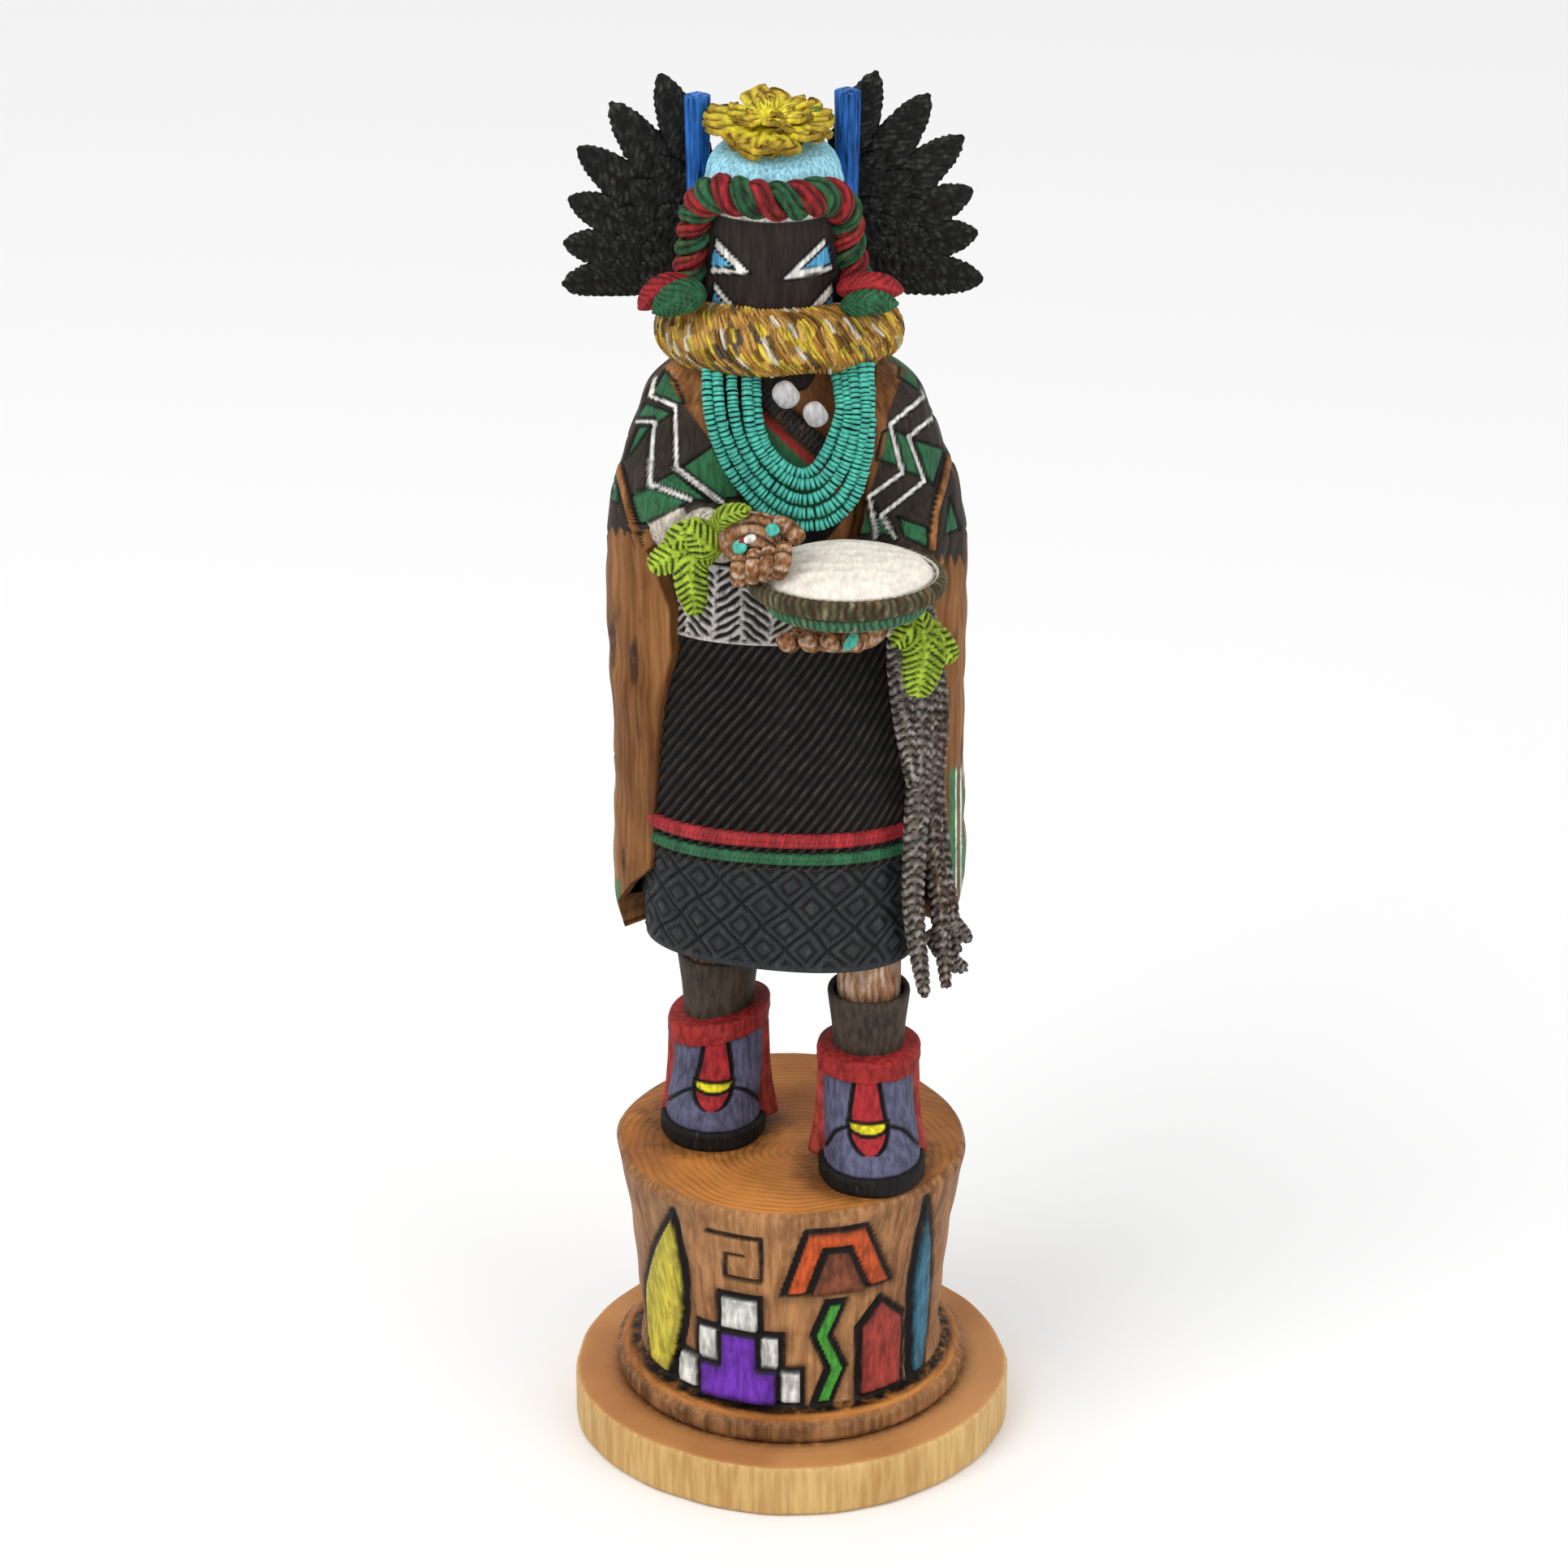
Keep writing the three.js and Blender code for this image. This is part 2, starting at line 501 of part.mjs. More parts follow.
// A two-strand cord is one tube whose section is a figure of eight that turns as it goes.
function hairTie() {
  const curve = new THREE.CatmullRomCurve3(tiePath.map((p) => at(...p)));
  const cord = loft((s, turn) => {
    const middle = curve.getPointAt(s);
    const out = new THREE.Vector3(middle.x - headMiddle[0] * unit, middle.y - headMiddle[1] * unit, 0).normalize();
    const across = new THREE.Vector3().crossVectors(curve.getTangentAt(s), out).normalize();
    const radius = tieRadius * (1 + tieGroove * Math.cos(2 * turn - s * tieHalfTurns * 2 * Math.PI)) * unit;
    return middle.addScaledVector(out, Math.cos(turn) * radius).addScaledVector(across, Math.sin(turn) * radius);
  }, tieHalfTurns * 2, 6);
  return [cord, ...tassels.map(({ points, width }) => leaf(points, width, 0.75))];
}

// Necklace: nested strands that hang from under the ruff.
const strandCount = 5;
const strandRadius = 1.5;
const strandDepth = 2;

function necklace() {
  return Array.from({ length: strandCount }, (_, k) => {
    const [left, right, low] = [-16.4 + k * 3, 16 - k * 3, 151 + k * 3.1];
    const middle = (left + right) / 2 + 0.8;
    const half = (right - left) / 2;
    const points = [[left, -18.6, 184], [left + 0.6, -20.6, 172], [middle - half * 0.72, -22.6, low + 7 - k], [middle, -23, low],
      [middle + half * 0.72, -22.6, low + 7 - k], [right - 0.4, -20.6, 172], [right, -18.6, 184]];
    return tube(points.map((p) => at(...p)), () => strandRadius * unit, 8, 4, strandDepth);
  });
}

// Tray: a shallow coiled plaque with a mound of meal.
const mealRise = 3.2;

function tray(grow) {
  const rows = [[-trayDepth, 0.6], [-trayDepth * 0.9, 0.76], [-trayDepth * 0.7, 0.83], [-trayDepth * 0.55, 0.84], [-trayDepth * 0.4, 0.98],
    [-0.8, 1], [0, 0.96], [-0.3, 0.9], [mealRise * 0.7, 0.62], [mealRise, 0.3]];
  return loft((s, turn) => {
    const [rise, share] = rows[Math.round(s * (rows.length - 1))];
    const lift = rise < -trayDepth / 2 ? -grow : grow;
    return at(trayMiddle[0], trayMiddle[1], trayRim + rise)
      .add(new THREE.Vector3((trayHalf[0] * share * unit + grow) * Math.cos(turn), (trayHalf[1] * share * unit + grow) * Math.sin(turn), lift));
  }, rows.length - 1, 20);
}

// Feather fans: tips of the outer row from the top down, then of the inner row, all from one root.
const fanMiddleY = 10.6;
const fanAxis = -4.3;
const fans = {
  right: { side: -1, root: [14.5, 191], tips: [[22.2, 234.4], [32.2, 228.6], [38.9, 219], [41, 208.4], [42.2, 198.8], [42.6, 188.6]] },
  left: { side: 1, root: [14.5, 192], tips: [[21.4, 235], [32, 230.3], [39, 221.4], [41, 210.2], [42.2, 201], [43.4, 190.6]] },
};
const innerReach = 0.6;
const fanFoot = 187.6;

function feather(root, tip, width, y, thickness) {
  const steps = 3;
  const [dx, dz] = [tip[0] - root[0], tip[1] - root[1]];
  const length = Math.hypot(dx, dz);
  return loft((s, turn) => {
    const spread = Math.max(0.06, Math.sin(Math.PI * (0.2 + 0.8 * s ** 1.5)) ** 0.7) * width;
    const across = Math.cos(turn) * spread;
    const place = at(root[0] + dx * s - (dz / length) * across, y, root[1] + dz * s + (dx / length) * across);
    return place.add(new THREE.Vector3(0, (Math.sin(turn) * thickness) / 2 * Math.max(0.25, Math.sin(Math.PI * (0.3 + 0.68 * s))), 0));
  }, steps, 4);
}

function fan({ side, root, tips }, grow = 0) {
  const place = ([x, z]) => [fanAxis + side * x, z];
  const from = place(root);
  const outer = tips.map(place).map((tip) => feather(from, tip, 5.6 + grow, fanMiddleY, fanThickness + 2 * grow));
  const inner = tips.slice(1).map(([x, z], i) => [root[0] + (x - root[0]) * innerReach, root[1] + ((z + tips[i][1]) / 2 - root[1]) * innerReach])
    .map(place).map((tip) => feather(from, tip, 4.6 + grow, fanMiddleY - 1.1, fanThickness + 1 + 2 * grow));
  const web = plate([[6, fanFoot - 1], [6, fanFoot + 18], [18, fanFoot + 34], [26, fanFoot + 26], [33, fanFoot + 8], [33, fanFoot - 1]].map(place),
    fanMiddleY - 1.3 - grow / unit, fanMiddleY + 1.3 + grow / unit);
  const above = plate([[0, fanFoot - grow], [0, fanFoot + 60], [60, fanFoot + 60], [60, fanFoot - grow]].map(place), 0, 2 * fanMiddleY);
  return join(web, outer, inner).intersect(above);
}

// Pegs beside the cap: middle and top of each, a little thinner at the foot.
const pegFoot = 199;
const pegs = {
  right: { middle: [-18.9, 5.6], top: 232.2 },
  left: { middle: [11.2, 5.6], top: 233.2 },
};

function peg({ middle, top }, grow = 0) {
  return tube([at(...middle, pegFoot - grow), at(...middle, top)], (s) => pegRadius * (0.76 + 0.24 * s) + grow, 3, 14);
}

// Crest: a rosette of petals with a raised heart that leans forward, flat underneath where it is glued on.
const crestMiddle = [-4.4, -2.4];
const crestRadius = 13.2;
const crestHeight = 6.4;
const crestLean = 0.2;
const petals = 9;

function crest() {
  const rows = [[0, 0.62], [0.2, 0.88], [0.6, 1], [0.84, 0.86], [0.62, 0.5], [0.86, 0.26], [1, 0.1]]
    .map(([rise, share]) => [rise * crestHeight, share]);
  return loft((s, turn) => {
    const [rise, share] = rows[Math.round(s * (rows.length - 1))];
    const lobe = 1 + 0.1 * share * Math.cos(petals * turn);
    const radius = crestRadius * share * lobe;
    const lean = rise > 0 ? crestLean * radius * Math.sin(turn) * Math.min(1, rise / 3) : 0;
    return at(crestMiddle[0] + radius * Math.cos(turn), crestMiddle[1] + radius * Math.sin(turn), capTop + rise + lean);
  }, rows.length - 1, petals * 2);
}

// The figure is one carving; the pieces glued to it are cut out of it with the glue gap.
function figure() {
  const whole = join(boot(feet.right), boot(feet.left), dress(), shawl(), armSolids(), handSolids(), whipSolids(),
    sprigSolids(), necklace(), ruff(), head(), hairTie());
  return filled(whole.subtract(tray(glueGap))
    .subtract(peg(pegs.right, glueGap)).subtract(peg(pegs.left, glueGap))
    .subtract(fan(fans.right, glueGap)).subtract(fan(fans.left, glueGap)));
}

const colours = {
  baseWood: { color: 0xb98a55, roughness: 0.6 },
  carvedWood: { color: 0x8a5a30, roughness: 0.55 },
  figurePaint: { color: 0x2b2724, roughness: 0.7 },
  featherBlack: { color: 0x1b1b1c, roughness: 0.7 },
  pegBlue: { color: 0x2456b4, roughness: 0.6 },
  crestYellow: { color: 0xc9b334, roughness: 0.7 },
  trayGreen: { color: 0x2f6a4c, roughness: 0.65 },
};

function piece(name, made, paint) {
  const mesh = new THREE.Mesh(geometryOf(made), new THREE.MeshStandardMaterial({ ...paint, metalness: 0 }));
  mesh.name = name;
  return mesh;
}

const doll = new THREE.Group();
doll.add(piece("base_disc", baseDisc(), colours.baseWood));

const onBase = new THREE.Group();
onBase.position.z = baseThickness;
onBase.add(piece("pedestal", pedestal(), colours.carvedWood));
doll.add(onBase);

const onPedestal = new THREE.Group();
onPedestal.position.z = baseThickness + pedestalHeight;
onPedestal.add(
  piece("figure", figure(), colours.figurePaint),
  piece("meal_tray", tray(0), colours.trayGreen),
  piece("feather_fan_right", fan(fans.right).subtract(peg(pegs.right, glueGap)), colours.featherBlack),
  piece("feather_fan_left", fan(fans.left).subtract(peg(pegs.left, glueGap)), colours.featherBlack),
  piece("side_peg_right", peg(pegs.right), colours.pegBlue),
  piece("side_peg_left", peg(pegs.left), colours.pegBlue),
  piece("crest", crest(), colours.crestYellow),
);
doll.add(onPedestal);

export default doll;
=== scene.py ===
"""A carved and painted kachina doll on its root pedestal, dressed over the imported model.

Sizes are in millimetres in the object's own frame: +Z up, the figure faces -Y, and the origin is the
centre of the base disc's underside. Every mesh is turned to metres as it is made.
"""

from __future__ import annotations

import logging
import math
from dataclasses import dataclass
from enum import Enum
from typing import Optional, Sequence, Union

import bpy
import numpy as np
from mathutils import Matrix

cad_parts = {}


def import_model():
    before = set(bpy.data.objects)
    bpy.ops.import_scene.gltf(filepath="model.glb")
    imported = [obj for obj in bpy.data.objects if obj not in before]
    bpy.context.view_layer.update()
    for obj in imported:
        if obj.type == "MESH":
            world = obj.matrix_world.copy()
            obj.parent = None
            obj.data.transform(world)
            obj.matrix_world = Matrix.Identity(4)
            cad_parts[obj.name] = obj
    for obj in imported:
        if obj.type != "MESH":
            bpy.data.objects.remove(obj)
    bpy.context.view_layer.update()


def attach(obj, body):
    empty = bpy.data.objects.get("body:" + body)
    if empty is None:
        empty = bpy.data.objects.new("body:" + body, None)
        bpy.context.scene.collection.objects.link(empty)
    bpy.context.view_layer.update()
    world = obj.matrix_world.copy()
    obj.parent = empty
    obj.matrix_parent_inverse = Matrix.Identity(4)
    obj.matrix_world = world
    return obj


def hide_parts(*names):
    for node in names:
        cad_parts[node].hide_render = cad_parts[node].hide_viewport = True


LOG = logging.getLogger("doll")
MM = 0.001
SOLE = 68.0
TAU = 2.0 * math.pi
RGB = tuple[float, float, float]
Number = Union["Value", float]


def srgb(red: float, green: float, blue: float) -> RGB:
    """Turns a screen colour from 0 to 255 into linear light."""
    parts = [value / 255.0 for value in (red, green, blue)]
    return tuple(p / 12.92 if p <= 0.04045 else ((p + 0.055) / 1.055) ** 2.4 for p in parts)


class Paint(Enum):
    """The colours on the carving."""

    BLACK = srgb(22, 20, 19)
    CHARCOAL = srgb(42, 46, 49)
    TWILL = srgb(30, 26, 23)
    MASK = srgb(44, 38, 35)
    WHITE = srgb(232, 230, 224)
    SKY = srgb(96, 176, 222)
    CAP = srgb(160, 218, 238)
    RED = srgb(158, 42, 46)
    GREEN = srgb(46, 100, 66)
    HEM_GREEN = srgb(56, 128, 84)
    TURQUOISE = srgb(82, 192, 174)
    GREY = srgb(184, 178, 174)
    SKIN = srgb(146, 98, 62)
    FOREARM = srgb(204, 194, 182)
    LEGGING = srgb(68, 58, 49)
    CUFF = srgb(148, 42, 40)
    BOOT = srgb(90, 90, 116)
    YELLOW = srgb(222, 208, 40)
    SOLE = srgb(28, 26, 24)
    LIME = srgb(158, 184, 58)
    CREST = srgb(198, 170, 52)
    CREST_BROWN = srgb(96, 66, 26)
    PEG = srgb(38, 98, 176)
    FEATHER = srgb(25, 27, 26)
    MEAL = srgb(234, 226, 216)
    RIM = srgb(82, 82, 58)
    RIM_GREEN = srgb(54, 116, 84)
    WHIP = srgb(108, 98, 90)
    FUR = srgb(208, 160, 84)
    BUTTON = srgb(190, 188, 190)
    ORANGE = srgb(206, 88, 40)
    RUST = srgb(126, 70, 46)
    LEAF_GREEN = srgb(76, 168, 62)
    BRICK = srgb(158, 62, 54)
    PURPLE = srgb(108, 50, 172)
    CORN = srgb(204, 188, 66)
    STEEL = srgb(62, 122, 148)
    BARE = (0.0, 0.0, 0.0)


class Value:
    """A number socket in a material, used in expressions as numbers are."""

    def __init__(self, skin: "Shader", socket: bpy.types.NodeSocket) -> None:
        """Keeps the material and the socket."""
        self.skin = skin
        self.socket = socket

    def _math(self, operation: str, *others: Number) -> "Value":
        """Adds a Math node to this value and the others."""
        links = dict(enumerate([self, *others]))
        return Value(self.skin, self.skin.node("Math", {"operation": operation}, links))

    def __add__(self, other: Number) -> "Value":
        """Adds."""
        return self._math("ADD", other)

    __radd__ = __add__

    def __sub__(self, other: Number) -> "Value":
        """Subtracts."""
        return self._math("SUBTRACT", other)

    def __rsub__(self, other: float) -> "Value":
        """Subtracts this from a number."""
        return (self * -1.0) + other

    def __mul__(self, other: Number) -> "Value":
        """Multiplies."""
        return self._math("MULTIPLY", other)

    __rmul__ = __mul__

    def between(self, low: float, high: float) -> "Value":
        """A smooth step from 0 at low to 1 at high."""
        links = {"Value": self, "From Min": low, "From Max": high}
        settings = {"interpolation_type": "SMOOTHSTEP"}
        return Value(self.skin, self.skin.node("MapRange", settings, links))

    def root(self) -> "Value":
        """The square root."""
        return self._math("SQRT")

    def wave(self) -> "Value":
        """The sine."""
        return self._math("SINE")


class Shader:
    """A material and the one method that adds its nodes."""

    def __init__(self, name: str) -> None:
        """Makes an empty material with a surface shader.

        Args:
            name: The material's name.
        """
        self.material = bpy.data.materials.new(name)
        self.material.use_nodes = True
        self.tree = self.material.node_tree
        self.tree.nodes.clear()
        self.surface = self.tree.nodes.new("ShaderNodeBsdfPrincipled")
        output = self.tree.nodes.new("ShaderNodeOutputMaterial")
        self.tree.links.new(self.surface.outputs[0], output.inputs["Surface"])

    def join(self, source: object, target: bpy.types.NodeSocket) -> None:
        """Links a value or socket to a socket, or sets the number on it."""
        source = source.socket if isinstance(source, Value) else source
        if isinstance(source, bpy.types.NodeSocket):
            self.tree.links.new(source, target)
        else:
            target.default_value = source

    def node(self, kind: str, settings: dict, links: dict, out: object = 0) -> bpy.types.NodeSocket:
        """Adds a node.

        Args:
            kind: The node's type without its ShaderNode prefix.
            settings: The node's own properties, set first.
            links: Socket name or number to a value, socket or number.
            out: The output's name or number.

        Returns:
            The chosen output socket.
        """
        made = self.tree.nodes.new("ShaderNode" + kind)
        for name, value in settings.items():
            setattr(made, name, value)
        for name, value in links.items():
            self.join(value, made.inputs[name])
        return made.outputs[out]

    def mix(self, factor: Number, first: object, second: object, blend: str = "MIX") -> bpy.types.NodeSocket:
        """Mixes two colours. A plain colour is three numbers."""
        made = self.tree.nodes.new("ShaderNodeMix")
        made.data_type = "RGBA"
        made.blend_type = blend
        self.join(factor, made.inputs[0])
        for slot, colour in ((6, first), (7, second)):
            self.join((*colour, 1.0) if isinstance(colour, tuple) else colour, made.inputs[slot])
        return made.outputs[2]

    def noise(self, place: object, scale: tuple[float, float, float], detail: float = 2.0) -> Value:
        """Noise whose grains have the given number a metre along each axis."""
        spread = self.node("Mapping", {}, {"Vector": place, "Scale": scale})
        links = {"Vector": spread, "Scale": 1.0, "Detail": detail, "Roughness": 0.55}
        return Value(self, self.node("TexNoise", {}, links))

    def attribute(self, name: str, out: str) -> bpy.types.NodeSocket:
        """Reads one of the piece's own attributes."""
        return self.node("Attribute", {"attribute_name": name}, {}, out)


@dataclass(frozen=True)
class Finish:
    """Thin matt paint, or bare oiled wood where the paint's alpha is nought, on a carving.

    Counts are streaks or flecks a metre along each axis, and depths are in millimetres.
    """

    name: str
    wood_light: RGB = srgb(168, 112, 66)
    wood_dark: RGB = srgb(98, 56, 28)
    grain: tuple[float, float, float] = (520.0, 520.0, 45.0)
    streak: tuple[float, float, float] = (900.0, 900.0, 260.0)
    streak_strength: float = 0.4
    fleck: float = 0.30
    fleck_colour: RGB = srgb(150, 104, 66)
    # the dark colour that the groove value lays on: painted shade in cuts, creases and shadows, and dark
    # stain
    shade_and_stain_colour: RGB = srgb(14, 11, 10)
    roughness: tuple[float, float] = (0.5, 0.78)
    specular: float = 0.13
    bump: float = 0.2
    top_tint: RGB = (1.0, 1.0, 1.0)
    on_surface: bool = False
    rings: Optional[tuple[float, float]] = None

    def place(self, shader: Shader) -> bpy.types.NodeSocket:
        """Where the pattern is read: on the object, or on the piece's own layout."""
        if self.on_surface:
            return shader.node("UVMap", {"uv_map": "lay"}, {})
        return shader.node("TexCoord", {}, {}, "Object")

    def wood(self, shader: Shader, place: bpy.types.NodeSocket) -> bpy.types.NodeSocket:
        """The bare wood's colour, with its grain and, on end grain, its growth rings."""
        grain = shader.noise(place, self.grain, 4.0)
        cloud = shader.noise(place, (38.0, 38.0, 30.0), 3.0)
        tone = grain.between(0.3, 0.72) * 0.6 + cloud.between(0.32, 0.7) * 0.4
        facing = shader.tree.nodes.new("ShaderNodeSeparateXYZ")
        shader.join(shader.node("NewGeometry", {}, {}, "Normal"), facing.inputs[0])
        flat = Value(shader, facing.outputs[2]).between(0.7, 0.95)
        calm = cloud.between(0.3, 0.72) * 0.6 + 0.2
        colour = shader.mix(tone * (1.0 - flat) + calm * flat, self.wood_dark, self.wood_light)
        colour = shader.mix(flat, colour, shader.mix(1.0, colour, self.top_tint, "MULTIPLY"))
        if self.rings is None:
            return colour
        parts = shader.tree.nodes.new("ShaderNodeSeparateXYZ")
        shader.join(place, parts.inputs[0])
        across = Value(shader, parts.outputs[0]) - self.rings[0] * MM
        along = Value(shader, parts.outputs[1]) - self.rings[1] * MM
        reach = (across * across + along * along * 1.35).root()
        bent = reach + shader.noise(place, (42.0, 42.0, 42.0), 2.0) * 0.007
        ring = (bent * 3400.0).wave().between(-0.2, 1.0) * shader.noise(place, (120.0, 120.0,
                                                                                10.0)).between(0.2, 0.6)
        return shader.mix(ring * flat * 0.4, colour, self.wood_dark)

    def material(self) -> bpy.types.Material:
        """Builds the material.

        Returns:
            The finished material.
        """
        shader = Shader(self.name)
        place = self.place(shader)
        paint = shader.attribute("paint", "Color")
        cover = Value(shader, shader.attribute("paint", "Alpha"))
        groove = Value(shader, shader.attribute("groove", "Fac"))
        streak = shader.noise(place, self.streak, 3.0)
        blotch = shader.noise(place, (150.0, 150.0, 110.0), 3.0)
        tone = streak.between(0.34, 0.66) * 0.7 + blotch.between(0.3, 0.7) * 0.3
        dull, bright = 1.0 - self.streak_strength * 1.3, 1.0 + self.streak_strength * 0.5
        shade = shader.mix(tone, (dull, dull, dull), (bright, bright, bright * 0.98))
        painted = shader.mix(1.0, paint, shade, "MULTIPLY")
        worn = shader.noise(place, tuple(s * 0.8 for s in self.streak), 4.0).between(0.62, 0.74) * self.fleck
        painted = shader.mix(worn, painted, self.fleck_colour)
        colour = shader.mix(cover, self.wood(shader, place), painted)
        # painted shade: the groove value, broken up by noise, darkens towards shade_and_stain_colour in cuts,
        # creases, recesses and painted shadows, and where there is dark stain
        shade_and_stain = shader.noise(place, (420.0, 420.0, 420.0), 3.0).between(0.1, 0.6) * groove
        colour = shader.mix(shade_and_stain, colour, self.shade_and_stain_colour)
        shader.join(colour, shader.surface.inputs["Base Color"])
        low, high = self.roughness
        shader.join(streak * (high - low) + low, shader.surface.inputs["Roughness"])
        shader.surface.inputs["Specular IOR Level"].default_value = self.specular
        fine = streak * 0.7 + shader.noise(place, (2600.0, 2600.0, 1500.0), 2.0) * 0.3
        links = {"Height": fine, "Strength": 0.9, "Distance": self.bump * MM}
        shader.join(shader.node("Bump", {}, links), shader.surface.inputs["Normal"])
        return shader.material


def smooth(value: np.ndarray, low: float, high: float) -> np.ndarray:
    """A smooth step from 0 at low to 1 at high."""
    share = np.clip((value - low) / (high - low), 0.0, 1.0)
    return share * share * (3.0 - 2.0 * share)


def near(value: np.ndarray, low: float, high: float) -> np.ndarray:
    """1 where the value is within low of nought, fading to 0 at high."""
    return 1.0 - smooth(np.abs(value), low, high)


def round_turns(count: int) -> np.ndarray:
    """Even turns round a ring."""
    return np.linspace(0.0, TAU, count, endpoint=False)


def running(steps: np.ndarray) -> np.ndarray:
    """The sum so far, from nought."""
    return np.concatenate([[0.0], np.cumsum(steps)])


def travelled(path: np.ndarray) -> np.ndarray:
    """How far along a path each of its points is."""
    return running(np.linalg.norm(np.diff(path, axis=0), axis=1))


def fract(value: np.ndarray) -> np.ndarray:
    """The part after the point."""
    return value - np.floor(value)


def ridge(value: np.ndarray, width: float) -> np.ndarray:
    """1 on each whole number and 0 beyond width from it, measured in periods."""
    return 1.0 - smooth(np.abs(fract(value + 0.5) - 0.5), 0.0, width)


def wander(first: np.ndarray, second: np.ndarray, period: float, seed: int) -> np.ndarray:
    """Slow hand-made unevenness from -1 to 1, from a few crossing waves.

    Args:
        first: One coordinate, in millimetres.
        second: The other.
        period: The main wavelength, in millimetres.
        seed: Picks the waves.

    Returns:
        The unevenness at each point.
    """
    rng = np.random.default_rng(seed)
    total = np.zeros(np.broadcast(first, second).shape)
    for step in range(6):
        angle = rng.uniform(0.0, TAU)
        rate = TAU / (period * (0.55 + 0.25 * step))
        total += np.sin(rate * (np.cos(angle) * first + np.sin(angle) * second) + rng.uniform(0.0, TAU))
    return total / 3.2


def curve(points: Sequence[Sequence[float]], count: int) -> np.ndarray:
    """A smooth path through the points, in even steps.

    Args:
        points: The points that it passes through.
        count: How many points come back.

    Returns:
        The path's points.
    """
    keys = np.asarray(points, dtype=float)
    keys = np.vstack([2 * keys[0] - keys[1], keys, 2 * keys[-1] - keys[-2]])
    spans = len(keys) - 3
    share = np.linspace(0.0, spans, spans * 24 + 1)
    start = np.minimum(share.astype(int), spans - 1)
    t = (share - start)[:, None]
    a, b, c, d = (keys[start + n] for n in range(4))
    fine = 0.5 * (2 * b + (c - a) * t + (2 * a - 5 * b + 4 * c - d) * t**2 + (3 * b - a - 3 * c + d) * t**3)
    reach = travelled(fine)
    wanted = np.linspace(0.0, reach[-1], count)
    return np.stack([np.interp(wanted, reach, fine[:, n]) for n in range(keys.shape[1])], axis=1)


def keyed(rows: Sequence[Sequence[float]], height: np.ndarray) -> list[np.ndarray]:
    """Smooth values between rows whose first entry is the height."""
    table = np.asarray(rows, dtype=float)
    fine = np.linspace(table[0, 0], table[-1, 0], 400)
    values = []
    for column in range(1, table.shape[1]):
        slope = np.gradient(table[:, column], table[:, 0])
        start = np.clip(np.searchsorted(table[:, 0], fine) - 1, 0, len(table) - 2)
        gap = table[start + 1, 0] - table[start, 0]
        t = (fine - table[start, 0]) / gap
        curve_value = (2 * t**3 - 3 * t**2 + 1) * table[start,
                                                        column] + (t**3 - 2 * t**2 + t) * gap * slope[start]
        curve_value += (3 * t**2 - 2 * t**3) * table[start + 1,
                                                     column] + (t**3 - t**2) * gap * slope[start + 1]
        values.append(np.interp(height, fine, curve_value))
    return values


def oval(half_x: np.ndarray, half_y: np.ndarray, power: float, turn: np.ndarray) -> tuple[np.ndarray,
                                                                                          np.ndarray]:
    """Points on an oval with squared corners. Power 2 is an ellipse."""
    across, along = np.cos(turn), np.sin(turn)
    bend = 2.0 / power
    return half_x * np.sign(across) * np.abs(across) ** bend, half_y * np.sign(along) * np.abs(along) ** bend


def unit(vectors: np.ndarray) -> np.ndarray:
    """Vectors of length one."""
    return vectors / np.maximum(np.linalg.norm(vectors, axis=-1, keepdims=True), 1e-9)


def inside(points: Sequence[Sequence[float]], x: np.ndarray, y: np.ndarray) -> np.ndarray:
    """How far each place is inside a closed outline, negative outside.

    Args:
        points: The outline's corners.
        x: One coordinate of each place.
        y: The other.

    Returns:
        The signed distance.
    """
    corners = np.asarray(points, dtype=float)
    within = np.zeros(x.shape, dtype=bool)
    nearest = np.full(x.shape, 1e9)
    for (ax, ay), (bx, by) in zip(corners, np.roll(corners, -1, axis=0)):
        crosses = (ay > y) != (by > y)
        level = np.where(crosses, (bx - ax) * (y - ay) / (by - ay if by != ay else 1e-9) + ax, -1e9)
        within ^= crosses & (x < level)
        nearest = np.minimum(nearest, from_segment((ax, ay), (bx, by), x, y))
    return np.where(within, nearest, -nearest)


def from_segment(start: Sequence[float], end: Sequence[float], x: np.ndarray, y: np.ndarray) -> np.ndarray:
    """Distance of each place from a straight segment."""
    dx, dy = end[0] - start[0], end[1] - start[1]
    share = np.clip(((x - start[0]) * dx + (y - start[1]) * dy) / max(dx * dx + dy * dy, 1e-9), 0.0, 1.0)
    return np.hypot(x - start[0] - share * dx, y - start[1] - share * dy)


def from_line(points: Sequence[Sequence[float]], x: np.ndarray, y: np.ndarray) -> np.ndarray:
    """Distance of each place from a broken line."""
    return np.min([from_segment(a, b, x, y) for a, b in zip(points, points[1:])], axis=0)


